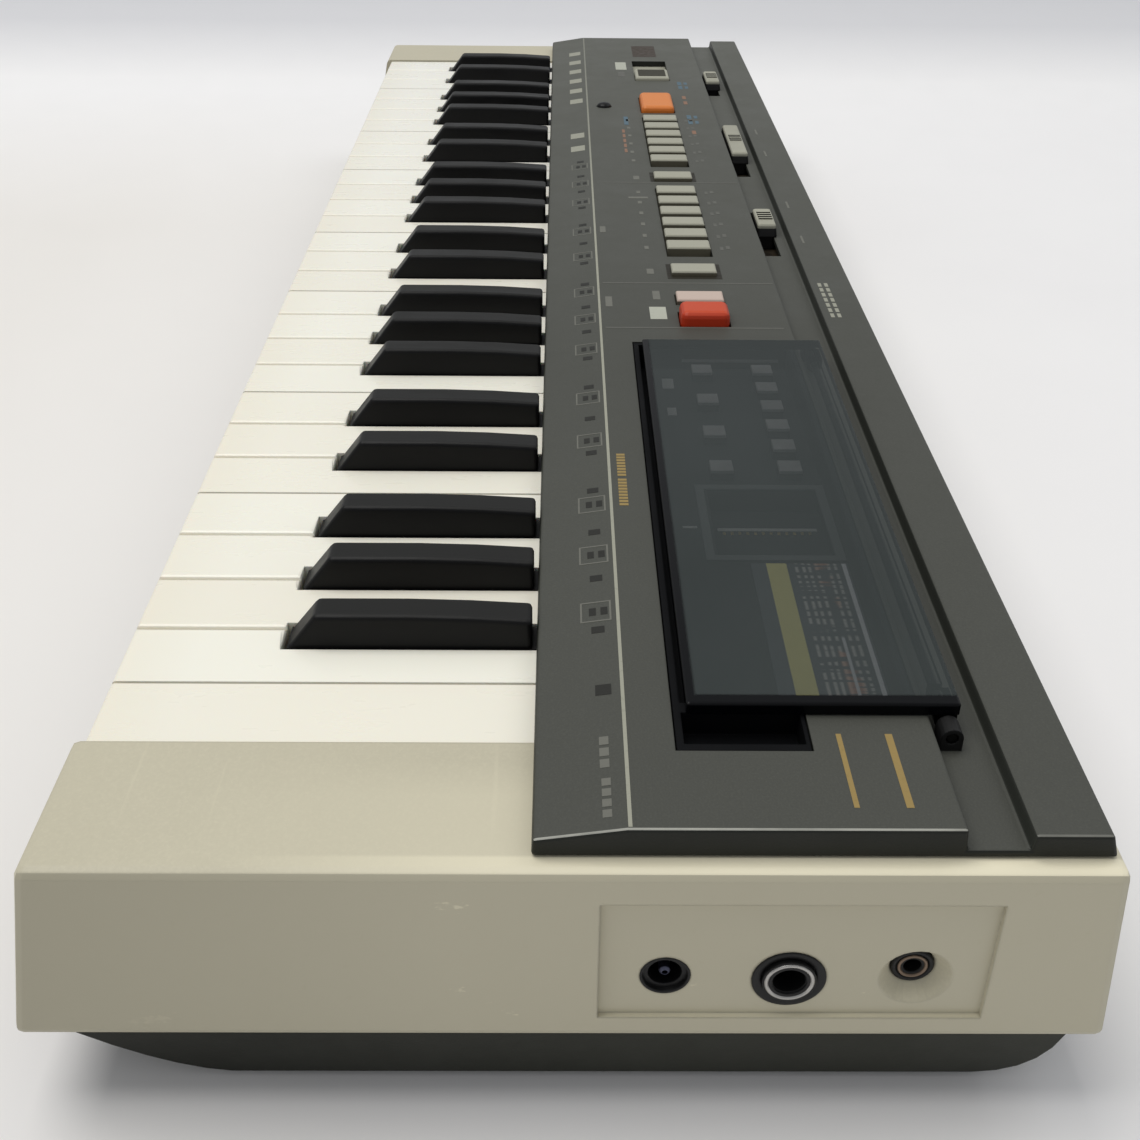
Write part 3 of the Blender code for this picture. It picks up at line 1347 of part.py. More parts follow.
def sockets():
    bay_x = near_x - BAY_RECESS
    socket("dc_jack", jack_centre(DC_ALONG, DC_HEIGHT), DC_HOLE, 13 * MM, 12 * MM,
           DC_HOLE - GAP, DC_BORE, bay_x - 0.8 * MM, pin=DC_PIN)
    socket("phones_jack", jack_centre(PHONES_ALONG, PHONES_HEIGHT), PHONES_HOLE, 30 * MM,
           17 * MM, PHONES_NOSE, PHONES_BORE, bay_x + PHONES_STAND)
    socket("output_jack", jack_centre(OUTPUT_ALONG, OUTPUT_HEIGHT), OUTPUT_HOLE, 14 * MM,
           12 * MM, OUTPUT_NOSE, OUTPUT_BORE, bay_x - OUTPUT_SINK_DEPTH + 0.6 * MM)


def make_looks():
    return {
        "cream_case": material("cream_case", (0.56, 0.53, 0.41), 0.45),
        "dark_case": material("dark_case", (0.045, 0.047, 0.04), 0.55),
        "panel": material("panel", (0.085, 0.085, 0.075), 0.4),
        "bay": material("bay", (0.05, 0.055, 0.06), 0.5),
        "smoked": material("smoked", (0.05, 0.055, 0.06), 0.1, 0.0, 0.75),
        "white_key": material("white_key", (0.88, 0.85, 0.72), 0.3),
        "black_key": material("black_key", (0.012, 0.012, 0.014), 0.25),
        "light_plastic": material("light_plastic", (0.42, 0.41, 0.35), 0.45),
        "red_plastic": material("red_plastic", (0.55, 0.075, 0.025), 0.35),
        "orange_plastic": material("orange_plastic", (0.65, 0.19, 0.05), 0.35),
        "black_plastic": material("black_plastic", (0.02, 0.02, 0.02), 0.4),
        "steel": material("steel", (0.55, 0.55, 0.52), 0.35, 1.0),
        "board": material("board", (0.16, 0.1, 0.035), 0.6),
        "speaker": material("speaker", (0.03, 0.03, 0.03), 0.7),
    }


def make_keys():
    places = key_places()
    meshes = key_meshes(places)
    single_keys(places, meshes)
    white_rail_z = shelf_z + GAP
    black_rail_z = white_rail_z + RAIL_SHEET + GAP
    white_rail_y = pivot_y + PIVOT_RADIUS + 2 * GAP
    black_rail_y = white_rail_y + 3 * GAP
    far = keys_far_x - KEY_PITCH
    near = far + (COMB_OCTAVES * WHITE_PER_OCTAVE + 2) * KEY_PITCH
    over_rail = box("over_rail", cutters, (far, white_rail_y + GAP, white_rail_z + RAIL_SHEET - GAP / 2),
                    (near, tail_y + MM, case_top_z))
    under_rail = box("under_rail", cutters, (far, white_rail_y - GAP, pivot_z - MM),
                     (near, tail_y + MM, black_rail_z + GAP / 2))
    whites = key_comb("low_white_keys", "white", places, meshes, white_rail_z, white_rail_y,
                      over_rail)
    whites.data.materials.append(looks["white_key"])
    blacks = key_comb("low_black_keys", "black", places, meshes, black_rail_z, black_rail_y,
                      under_rail)
    blacks.data.materials.append(looks["black_key"])
    return places


clear_scene()
parts = collection("portable_keyboard")
cutters = collection("cutters", hidden=True)
helpers = collection("helpers", hidden=True)
looks = make_looks()

upper_case()
lower_case()
battery_door()
control_panel()
pack_tray()
pack_lid()
hinge_rod()
slider_knob("volume_slider", VOLUME_X, VOLUME_LENGTH, looks["light_plastic"])
slider_knob("mode_slider", MODE_X, MODE_LENGTH, looks["light_plastic"])
slider_knob("tempo_slider", TEMPO_X, TEMPO_LENGTH, looks["light_plastic"])
push_button("start_button", START_X, START_WIDTH, START_STAND, looks["red_plastic"])
push_button("chord_button", CHORD_X, CHORD_WIDTH, CHORD_STAND, looks["orange_plastic"])
power_switch()
button_bars("tone_buttons", bank_centres(TONE_FIRST_X, TONE_SINGLE_X, TONE_SHIFT_X),
            looks["light_plastic"])
button_bars("rhythm_buttons", bank_centres(RHYTHM_FIRST_X, RHYTHM_SINGLE_X),
            looks["light_plastic"])
key_chassis(make_keys())
circuit_board()
speaker()
sockets()
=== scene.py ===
"""Looks for a slim portable keyboard: materials, fine detail, table, light and camera."""
import math

import bmesh
import bpy
from mathutils import Matrix, Vector


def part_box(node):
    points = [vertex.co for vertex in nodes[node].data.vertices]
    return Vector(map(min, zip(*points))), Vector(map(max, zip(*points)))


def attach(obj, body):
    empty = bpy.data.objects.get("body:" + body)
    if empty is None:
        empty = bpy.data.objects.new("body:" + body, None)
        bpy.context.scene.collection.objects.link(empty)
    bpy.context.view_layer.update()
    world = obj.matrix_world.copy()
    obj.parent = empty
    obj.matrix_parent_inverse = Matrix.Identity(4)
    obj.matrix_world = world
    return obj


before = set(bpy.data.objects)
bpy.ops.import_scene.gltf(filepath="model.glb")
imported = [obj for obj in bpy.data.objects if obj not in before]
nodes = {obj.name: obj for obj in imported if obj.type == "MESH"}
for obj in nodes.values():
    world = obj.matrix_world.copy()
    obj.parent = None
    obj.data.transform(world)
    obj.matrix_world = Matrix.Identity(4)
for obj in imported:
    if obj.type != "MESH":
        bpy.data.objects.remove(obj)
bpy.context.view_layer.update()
scene = bpy.context.scene
MM = 0.001

# Places are in millimetres. X runs to the treble end, Y to the rear and Z up.
# The control panel
PANEL_FAR_X, PANEL_NEAR_X = -320.0, 326.3
PANEL_Y, CREASE_Y = -5.2, 11.5
SLOPE_LOW_Z, FLAT_Z, BAR_Z = 67.0, 69.6, 68.3
LENS_X, LENS_Y, LENS_DEPTH = -168.6, 19.8, 1.2

# Lines across the panel: X, the start counted from the crease, and the end
SECTION_LINES = ((-49.5, 4.5, 70.4), (61.8, 2.0, 70.4), (100.2, 2.0, 69.0))

# The banks' first bars and their pitch, and the two bars that stand alone
BANKS_X, BAR_STEP, BARS = (-36.6, -143.8), 12.8, 6
SINGLE_BARS_X = (51.2, -55.6)

# Marks on the panel, each as X0, X1, Y0 and Y1. Those that repeat count X from the middle of
# their bar, or from the values in their own list.
BAR_MARK = (-1.6, 1.6, 29.2, 30.7)
BAR_FAR_MARKS = ((-1.0, 2.4, 56.0, 57.2), (-2.0, 1.2, 58.2, 59.6))
SINGLE_BAR_MARK = (-2.4, 2.4, 28.8, 31.2)
PALE_MARKS = ((83.4, 93.6, 27.9, 33.2), (-259.5, -243.0, 27.8, 33.4))
DIM_MARKS = ((-30.8, -28.6, 25.8, 33.4), (69.4, 77.0, 29.6, 32.0),
             (4.8, 11.4, 13.8, 15.9), (74.6, 83.2, 14.0, 16.2))
FAINT_MARK = (-238.0, -228.0, 28.6, 32.0)
BAR_PLATES = ((44.2, 58.2, 35.6, 54.0), (-62.8, -50.4, 35.6, 54.0))
SWITCH_PLATE = (-298.8, -272.8, 37.9, 50.4)
SWITCH_INLAY = (-236.2, -222.6, 38.6, 52.4)
BLUE_X = (-214.0, -206.0, -150.0, -141.0)
BLUE_MARKS = ((-3.2, 3.2, 57.6, 59.6), (-2.4, 2.4, 60.8, 62.4))
BLUE_RULE = (-150.0, -136.0, 28.2, 30.2)
ORANGE_X, ORANGE_MARK = (-186.0, -176.0, -124.0), (-2.8, 2.8, 58.0, 59.8)
GOLD_RULES = ((299.6, 320.4, 52.2, 53.2), (299.6, 320.4, 61.6, 63.0))
REAR_X, REAR_RULE = (-130.0, -96.0, -26.0, 14.0), (-4.0, 4.0, 87.0, 87.8)

# Rows of dashes, each as X0, X1, Y0, Y1, how many and the gap between them
ORANGE_DASHES = ((-128.0, -92.0, 26.8, 28.0, 5, 2.4),)
GOLD_DASHES = ((185.0, 197.0, 14.0, 16.2, 8, 0.45), (198.5, 212.0, 14.0, 16.2, 9, 0.45))
REAR_DASHES = ((58.0, 88.0, 86.0, 87.2, 7, 1.3), (58.0, 88.0, 88.2, 89.4, 7, 1.3))
SLOPE_DASHES = ((300.0, 309.0, 7.0, 8.8, 3, 0.9), (312.0, 322.5, 7.2, 8.9, 4, 0.8))

# The insert under the lid
BAY_FLOOR_Z, POCKET_FLOOR_Z = 61.6, 55.1
CARD = (226.0, 280.0, 45.0, 68.1)
POCKET_RIM, RIM_WIDTH = (187.4, 224.6, 34.6, 68.2), 2.2
BAY_MARKS = ((121.0, 128.0, 30.0, 33.4), (141.0, 146.0, 30.4, 33.0), (208.4, 209.4, 30.0, 33.6))
CONTACT_STRIP = (198.4, 199.8, 40.0, 65.6)
CARD_ROWS_Y, CARD_ROW_WIDTH = (55.3, 57.0, 58.4, 60.1, 63.0, 64.6), 0.7
PADS, PAD_X, FIRST_PAD_Y, PAD_WIDTH, PAD_STEP = 12, (200.3, 201.6), 41.2, 0.8, 2.0

# The socket bay's back, and each socket's Y and Z
SOCKET_X = 329.3
PHONES, OUTPUT, SUPPLY = (42.4, 35.4), (66.0, 35.8), (19.3, 36.2)

# The underside
TRAY_Z = 2.5
FEET_X, FEET_Y = (-288.5, 288.5), (-56.2, 74.2)
SCREWS = ((-252, -50), (-252, 62), (-30, -50), (-30, 62), (70, -50), (230, 62), (252, -50), (70, 62))

# The keys: the white ones' pitch, where they begin, and how far each black key of an octave
# stands from the gap between its two white ones
WHITE_KEYS, KEYS_IN_OCTAVE = 29, 7
KEY_PITCH, KEYS_FAR = 20.2, -291.3
SHARP_PLACES = {0: -3.0, 1: 3.0, 3: -3.2, 4: 0.0, 5: 3.2}
PALE_MARKED_KEYS = (0, 1, 2, 3, 4, 5, 8, 9)
DARK_MARKED_KEYS = range(10, 28)

# The guide's marks on the slope, with X counted from the middle of their key
PALE_KEY_MARK, DARK_KEY_MARK = (-3.9, 3.9, 3.8, 9.8), (-1.2, 1.2, 6.2, 9.0)
SHARP_FRAME, FRAME_WIDTH = (-3.8, 3.8, 3.9, 10.6), 0.4
SHARP_MARKS = ((-1.4, 1.4, 5.8, 7.3), (-1.4, 1.4, 8.3, 9.8))
END_MARK = (283.6, 287.0, 6.6, 9.8)

# How far a print stands over its surface, and reaches into it
PRINT, SUNK = 0.06, 0.2

# The photograph's place and angle, in metres and radians
CAMERA_PLACE = (0.508449, -0.000897, 0.238825)
PITCH, YAW, ROLL = 0.565, 0.010, 0.010

# Each lamp's place and size in metres, its watts and its colour
LAMPS = {
    "key_lamp": ((0.05, -0.65, 2.0), 1.4, 25.5, (1.0, 0.985, 0.965)),
    "fill_lamp": ((-0.5, 1.2, 1.5), 1.2, 4.4, (0.97, 0.98, 1.0)),
}
LAMPS_AIM = (0.05, 0.0, 0.05)


class Shader:
    """Adds and links the nodes of one material."""

    def __init__(self, name, rough, metal=0.0, coat=0.0, gloss=0.4):
        self.mat = bpy.data.materials.new(name)
        self.mat.use_nodes = True
        self.tree = self.mat.node_tree
        self.tree.nodes.clear()
        out = self.add("ShaderNodeOutputMaterial")
        self.bsdf = self.add("ShaderNodeBsdfPrincipled")
        self.link(self.bsdf.outputs[0], out.inputs[0])
        for socket, value in (("Roughness", rough), ("Metallic", metal), ("Coat Weight", coat),
                              ("Specular IOR Level", gloss)):
            self.bsdf.inputs[socket].default_value = value
        self.coords = None
        self.base = None

    def add(self, kind, **values):
        node = self.tree.nodes.new(kind)
        for key, value in values.items():
            setattr(node, key, value)
        return node

    def link(self, source, target):
        self.tree.links.new(source, target)

    def feed(self, socket, value):
        """Links a node's output to the socket, or sets it to a number or a colour."""
        if isinstance(value, (int, float)):
            socket.default_value = value
        elif isinstance(value, (tuple, list)):
            socket.default_value = (*value, 1.0) if socket.type == "RGBA" else value
        else:
            self.link(value, socket)

    def place(self, output="Object"):
        if self.coords is None:
            self.coords = self.add("ShaderNodeTexCoord")
        return self.coords.outputs[output]

    def part(self, axis, output="Object"):
        """One coordinate of the place on the object, or of its outward normal."""
        node = self.add("ShaderNodeSeparateXYZ")
        self.link(self.place(output), node.inputs[0])
        return node.outputs[axis]

    def math(self, operation, a, b=0.0, clamp=False):
        node = self.add("ShaderNodeMath", operation=operation, use_clamp=clamp)
        self.feed(node.inputs[0], a)
        self.feed(node.inputs[1], b)
        return node.outputs[0]

    def joined(self, operation, masks):
        total = masks[0]
        for mask in masks[1:]:
            total = self.math(operation, total, mask)
        return total

    def all_of(self, *masks):
        return self.joined("MULTIPLY", masks)

    def any_of(self, *masks):
        return self.joined("MAXIMUM", masks)

    def ramp(self, value, low, high, out_low=0.0, out_high=1.0):
        """Maps low..high to out_low..out_high, and holds the ends beyond them."""
        node = self.add("ShaderNodeMapRange")
        self.feed(node.inputs["Value"], value)
        for name, number in (("From Min", low), ("From Max", high),
                             ("To Min", out_low), ("To Max", out_high)):
            node.inputs[name].default_value = number
        return node.outputs["Result"]

    def band(self, value, low, high, soft):
        """1 between two values and 0 outside them."""
        return self.all_of(self.ramp(value, low - soft, low + soft),
                           self.ramp(value, high + soft, high - soft))

    def along(self, axis, low, high, out_low=0.0, out_high=1.0):
        """A ramp between two places on an axis, in millimetres."""
        return self.ramp(self.part(axis), low * MM, high * MM, out_low, out_high)

    def within(self, axis, low, high, soft=0.1):
        """1 between two places on an axis, in millimetres, and 0 outside them."""
        return self.band(self.part(axis), low * MM, high * MM, soft * MM)

    def facing(self, axis, low, high, out_low=0.0, out_high=1.0):
        """A ramp on one coordinate of the outward normal."""
        return self.ramp(self.part(axis, "Normal"), low, high, out_low, out_high)

    def turned(self, axis):
        """How far a face looks along an axis, either way."""
        return self.math("ABSOLUTE", self.part(axis, "Normal"))

    def stretched(self, stretch):
        if stretch is None:
            return self.place()
        mapping = self.add("ShaderNodeMapping")
        mapping.inputs["Scale"].default_value = stretch
        self.link(self.place(), mapping.inputs["Vector"])
        return mapping.outputs[0]

    def noise(self, scale, detail=2.0, rough=0.5, stretch=None):
        node = self.add("ShaderNodeTexNoise")
        node.inputs["Scale"].default_value = scale
        node.inputs["Detail"].default_value = detail
        node.inputs["Roughness"].default_value = rough
        self.link(self.stretched(stretch), node.inputs["Vector"])
        return node.outputs["Fac"]

    def clouds(self, scale, detail=2.0, rough=0.5, stretch=None, out_low=0.0, out_high=1.0):
        """Noise whose middle range is spread from out_low to out_high."""
        return self.ramp(self.noise(scale, detail, rough, stretch), 0.3, 0.7, out_low, out_high)

    def cell_borders(self, scale, stretch):
        node = self.add("ShaderNodeTexVoronoi", feature="DISTANCE_TO_EDGE")
        node.inputs["Scale"].default_value = scale
        self.link(self.stretched(stretch), node.inputs["Vector"])
        return node.outputs["Distance"]

    def mix(self, factor, a, b):
        node = self.add("ShaderNodeMix", data_type="RGBA")
        self.feed(node.inputs["Factor"], factor)
        self.feed(node.inputs["A"], a)
        self.feed(node.inputs["B"], b)
        return node.outputs["Result"]

    def rounded(self, radius):
        """The normal as if each sharp edge had this radius, in millimetres."""
        bevel = self.add("ShaderNodeBevel", samples=4)
        bevel.inputs["Radius"].default_value = radius * MM
        return bevel.outputs[0]

    def edges(self, normal):
        """1 along the sharp edges, where the rounded normal leaves the face's own."""
        flat = self.add("ShaderNodeNewGeometry").outputs["Normal"]
        dot = self.add("ShaderNodeVectorMath", operation="DOT_PRODUCT")
        self.link(normal, dot.inputs[0])
        self.link(flat, dot.inputs[1])
        return self.ramp(dot.outputs["Value"], 0.985, 0.86)

    def bump(self, height, strength, distance, normal=None):
        """Fine relief, its distance in millimetres."""
        node = self.add("ShaderNodeBump")
        node.inputs["Strength"].default_value = strength
        node.inputs["Distance"].default_value = distance * MM
        self.link(height, node.inputs["Height"])
        if normal is not None:
            self.link(normal, node.inputs["Normal"])
        self.link(node.outputs[0], self.bsdf.inputs["Normal"])

    def colour(self, value):
        self.base = value
        self.feed(self.bsdf.inputs["Base Color"], value)

    def paint(self, mask, value):
        """Lays a colour over the ones before it."""
        self.colour(self.mix(mask, self.base, value))

    def rough(self, value):
        self.feed(self.bsdf.inputs["Roughness"], value)


def tint(*levels):
    """An sRGB colour in 0..255 as linear values."""
    return tuple((v / 255 / 12.92) if v < 10.3 else ((v / 255 + 0.055) / 1.055) ** 2.4
                 for v in levels)


def scaled(colour, factor):
    return tuple(min(1.0, c * factor) for c in colour)


CREAM = tint(195, 189, 166)
IVORY = tint(250, 246, 231)
PANEL = tint(74, 75, 69)
LIGHT = tint(165, 164, 148)
OLIVE = tint(52, 53, 46)
BLACK = tint(18, 18, 18)

# Screened inks: colour and roughness
INKS = {
    "print": ((152, 152, 138), 0.5),
    "dim_print": ((108, 108, 100), 0.5),
    "faint_print": ((94, 94, 88), 0.5),
    "dark_print": ((38, 38, 34), 0.5),
    "gold": ((150, 128, 78), 0.38),
    "brown": ((66, 58, 50), 0.55),
    "bar_plate": ((38, 35, 25), 0.5),
    "white_print": ((176, 178, 164), 0.45),
    "blue_print": ((82, 104, 116), 0.5),
    "orange_print": ((136, 104, 84), 0.5),
    "bay_print": ((150, 152, 150), 0.5),
    "lens": ((5, 5, 5), 0.35),
}

# Plated metals: material name, colour and roughness
METALS = {
    "steel": ("plated_steel", (0.56, 0.55, 0.51), 0.34),
    "silver": ("socket_silver", (0.46, 0.45, 0.43), 0.28),
    "bronze": ("socket_bronze", tint(128, 112, 98), 0.36),
    "pin": ("pin_steel", tint(96, 98, 116), 0.4),
    "contact": ("contact_gold", tint(206, 178, 110), 0.3),
    "rod": ("dark_rod", tint(40, 40, 40), 0.45),
    "screw": ("screw_steel", (0.30, 0.29, 0.27), 0.38),
}

looks = {}


def make_looks():
    looks["case"] = case_look()
    looks["tray"] = tray_look()
    looks["panel"] = panel_look()
    looks["bay"] = bay_look()
    looks["light"] = bar_look("light_plastic", 0.0)
    looks["tone"] = bar_look("tone_bars", 0.75)
    looks["red"] = pressed("red_plastic", tint(188, 54, 24), tint(206, 90, 52), 0.5)
    looks["orange"] = pressed("orange_plastic", tint(210, 116, 44), tint(224, 144, 82), 0.6)
    looks["black"] = moulded("black_plastic", tint(16, 16, 16), rough=0.42, grain=0.2, edge=0.3,
                             worn_and_lit=1.8, gloss=0.3).mat
    looks["inside"] = moulded("speaker_black", tint(30, 30, 30), rough=0.8, grain=0.4, edge=0.1).mat
    looks["rubber"] = moulded("rubber_pad", tint(28, 28, 28), rough=0.85, grain=0.6, edge=0.1).mat
    looks["dark_inlay"] = moulded("dark_inlay", tint(56, 54, 42), rough=0.55, grain=0.3, edge=0.3,
                                  gloss=0.25).mat
    looks["rim_plate"] = moulded("rim_plate", tint(84, 88, 88), rough=0.6, grain=0.3, edge=0.4,
                                 gloss=0.25).mat
    looks["white_key"] = key_white()
    looks["black_key"] = key_black()
    looks["board"] = board_look()
    looks["lid"] = smoked_lid()
    looks["knob"] = capped_knob()
    looks["switch"] = switch_look()
    looks["card"] = card_look()
    looks["crease"] = crease_look()
    for look, (name, colour, rough) in METALS.items():
        looks[look] = plated(name, colour, rough)
    for look, (levels, rough) in INKS.items():
        looks[look] = ink("print_" + look, tint(*levels), rough)


def moulded(name, colour, rough, grain, edge, vary=0.10, worn_and_lit=1.25, grain_size=1500.0,
            scratches=0.0, radius=0.5, gloss=0.4):
    """Moulded or painted plastic: fine grain, faint clouds, light scratches, and edges made paler
    both by handling wear and by a painted highlight.
    """
    s = Shader(name, rough, gloss=gloss)
    fine = s.noise(grain_size, 3.0, 0.6)
    s.colour(s.mix(s.clouds(9.0, 4.0, 0.6), scaled(colour, 1.0 - vary),
                   scaled(colour, 1.0 + vary * 0.6)))
    s.paint(s.ramp(fine, 0.62, 0.30, 0.0, grain * 0.35), scaled(colour, 0.6))
    s.paint(s.ramp(fine, 0.55, 0.75, 0.0, grain * 0.25), scaled(colour, 1.5))
    normal = s.rounded(radius)
    # Paler edges: partly handling wear, partly a painted highlight where rounded edges catch the
    # light.
    handled_and_lit = s.ramp(s.noise(60.0, 3.0, 0.7), 0.35, 0.75, 0.45 * edge, edge)
    wear_and_highlight = s.all_of(s.edges(normal), handled_and_lit)
    s.paint(wear_and_highlight, scaled(colour, worn_and_lit))
    satin = s.clouds(35.0, 4.0, 0.65, out_low=rough * 0.86, out_high=min(1.0, rough * 1.14))
    satin = s.math("SUBTRACT", satin, s.math("MULTIPLY", wear_and_highlight, 0.12))
    if scratches:
        lines = s.noise(26.0, 2.0, 0.4, stretch=(0.35, 14.0, 14.0))
        marks = s.ramp(lines, 0.70, 0.74, 0.0, scratches)
        satin = s.math("ADD", satin, marks, clamp=True)
        s.paint(marks, scaled(colour, 1.2))
    s.rough(satin)
    s.bump(fine, grain, 0.06, normal)
    return s


def case_look():
    """Cream plastic with light scuffs, and a blotchy brown line along the lower edge of the socket
    bay.

    Painted shade darkens the end face, most towards the keys' side; painted light brightens the top
    near the treble end, and a painted highlight runs along the end's rounded top edge.
    """
    s = moulded("cream_case", CREAM, rough=0.46, grain=0.3, edge=0.3, vary=0.05, worn_and_lit=1.14,
                scratches=0.25, radius=0.9, gloss=0.35)
    # A blotchy brown line along the lower edge of the socket bay.
    blotches = s.ramp(s.noise(130.0, 4.0, 0.7), 0.42, 0.66, 0.12, 0.7)
    bay_edge_line = s.all_of(s.within("X", 325.5, 329.9), s.along("Z", 27.5, 26.2), blotches)
    s.paint(bay_edge_line, tint(112, 92, 64))
    end = s.facing("X", 0.7, 0.9)
    # Painted shade: the end face is darkened.
    s.paint(end, scaled(CREAM, 0.94))
    nicks = s.ramp(s.noise(42.0, 5.0, 0.75, stretch=(1.0, 1.0, 2.4)), 0.66, 0.70, 0.0, 0.6)
    s.paint(s.all_of(nicks, end), scaled(CREAM, 1.35))
    # Painted shade: the end face darkens further towards the keys' side.
    s.paint(s.all_of(end, s.along("Y", -20.0, -100.0)), scaled(CREAM, 0.78))
    # Painted light: the top near the treble end is brightened, most towards the rear.
    block_top = s.all_of(s.facing("Z", 0.7, 0.9), s.along("X", 300.0, 310.0))
    s.paint(s.all_of(block_top, s.along("Y", -70.0, 30.0)), scaled(CREAM, 1.2))
    # Painted highlight along the rounded top edge of the end.
    ledge = s.all_of(s.facing("Z", 0.4, 0.7), s.along("X", 325.6, 326.4), s.along("Z", 56.0, 58.0))
    s.paint(s.all_of(ledge, s.along("Y", -60.0, 30.0)), scaled(CREAM, 1.55))
    return s.mat


def tray_look():
    """Dark olive plastic, with painted shade deepening it towards the keys' side."""
    s = moulded("dark_case", OLIVE, rough=0.6, grain=0.5, edge=0.3, vary=0.12, gloss=0.18)
    # Painted shade: darker towards the keys' side.
    s.paint(s.along("Y", 20.0, -90.0, 0.0, 0.85), tint(26, 27, 22))
    return s.mat


def panel_look():
    """Grey paint with fine speckle, darker on its sides and lid lugs. Painted light makes it paler
    towards the bass end, and painted shade darkens the walls that face front or back.

    The rounded edges at the treble end carry a painted highlight."""
    s = moulded("panel_grey", PANEL, rough=0.52, grain=0.8, edge=0.35, vary=0.05, worn_and_lit=1.5,
                grain_size=2200.0, gloss=0.25)
    up = s.part("Z", "Normal")
    # Painted light: paler towards the bass end.
    s.paint(s.along("X", 120.0, -320.0, 0.0, 0.8), scaled(PANEL, 1.6))
    s.paint(s.ramp(up, 0.80, 0.66, 0.0, 0.97), tint(27, 29, 24))
    # Painted shade: walls facing front or back, such as the groove's, get a dark grey of their own.
    s.paint(s.ramp(s.turned("Y"), 0.7, 0.9), tint(46, 48, 43))
    over_lip = s.any_of(s.along("Z", 65.5, 65.9), s.along("Y", 30.0, 20.0))
    less_on_bar = s.along("Y", 80.0, 84.0, 1.0, 0.35)
    # Painted highlight: the rounded edges at the treble end are painted pale, in patches.
    chamfer = s.all_of(s.band(up, 0.70, 0.965, 0.02), s.facing("X", 0.1, 0.25), over_lip, less_on_bar)
    patchy_highlight = s.ramp(s.noise(70.0, 3.0, 0.7), 0.25, 0.6, 0.55, 1.0)
    s.paint(s.all_of(chamfer, patchy_highlight), tint(165, 165, 156))
    lugs = s.all_of(s.within("X", 110.5, 299.4), s.within("Y", 72.3, 77.9), s.along("Z", 65.2, 65.4))
    s.paint(lugs, tint(20, 20, 20))
    return s.mat


def bay_look():
    """The dark insert under the lid: its raised buttons have paler tops, and painted shade blackens
    its border.
    """
    s = moulded("bay_dark", tint(42, 45, 46), rough=0.6, grain=0.2, edge=0.3, vary=0.08, gloss=0.1)
    buttons = s.all_of(s.within("Z", 63.8, 64.8), s.along("X", 187.0, 186.6),
                       s.within("Y", 36.5, 66.0))
    s.paint(s.all_of(buttons, s.clouds(90.0, out_low=0.7)), tint(150, 150, 150))
    # Painted shade: the strips along the front and the treble end, in the gap round the lid, are near
    # black.
    s.paint(s.any_of(s.along("Y", 26.2, 25.0), s.along("X", 288.0, 289.2)), tint(8, 9, 11))
    return s.mat


def bar_look(name, pink):
    """Pale buttons whose sides carry painted shade in dull olive. The bar beside the red button turns
    pink by its share.
    """
    s = moulded(name, LIGHT, rough=0.45, grain=0.2, edge=0.7, vary=0.06, worn_and_lit=1.4, gloss=0.3)
    s.paint(s.along("X", 70.0, 70.2, 0.0, pink), tint(206, 182, 170))
    # Painted shade: faces that don't look up are darkened to a dull olive.
    s.paint(s.facing("Z", 0.5, 0.2, 0.0, 0.9), tint(82, 78, 64))
    return s.mat


def pressed(name, colour, top, share):
    """A coloured push button whose top carries painted light, paler than its sides."""
    s = moulded(name, colour, rough=0.4, grain=0.15, edge=0.3, vary=0.07, radius=0.6, gloss=0.3)
    # Painted light: the top faces are paler by the share, in uneven patches.
    lit_top = s.ramp(s.noise(60.0, 3.0, 0.6), 0.2, 0.8, share * 0.7, share)
    s.paint(s.all_of(s.facing("Z", 0.55, 0.95), lit_top), top)
    return s.mat


def key_white():
    """Ivory keys: each a touch different, warmer near the front, polished where fingers play.

    Painted light brightens them towards the bass end, painted shade darkens their lower sides
    and a painted highlight runs along their edges.
    """
    s = Shader("ivory_key", 0.3, coat=0.2, gloss=0.4)
    s.bsdf.inputs["Coat Roughness"].default_value = 0.14
    s.bsdf.inputs["Subsurface Weight"].default_value = 0.04
    each = s.ramp(s.add("ShaderNodeObjectInfo").outputs["Random"], 0.0, 1.0, 0.0, 0.55)
    s.colour(s.mix(each, IVORY, scaled(tint(243, 234, 214), 0.97)))
    s.paint(s.ramp(s.noise(14.0, 4.0, 0.6), 0.35, 0.7, 0.0, 0.45), scaled(IVORY, 0.94))
    # Painted light: paler towards the bass end.
    s.paint(s.along("X", 150.0, -300.0, 0.0, 0.8), tint(254, 251, 241))
    s.paint(s.along("Y", -78.0, -100.0, 0.0, 0.4), tint(234, 224, 200))
    # Painted shade: the sides darken towards the gaps below the key tops.
    s.paint(s.along("Z", 61.6, 57.0, 0.0, 0.9), tint(190, 178, 152))
    normal = s.rounded(0.45)
    # Painted highlight along the rounded edges.
    s.paint(s.math("MULTIPLY", s.edges(normal), 0.25), tint(252, 249, 240))
    polish = s.noise(120.0, 4.0, 0.7, stretch=(1.0, 0.25, 1.0))
    s.rough(s.ramp(polish, 0.35, 0.75, 0.26, 0.34))
    s.bump(s.noise(420.0), 0.06, 0.05, normal)
    return s.mat


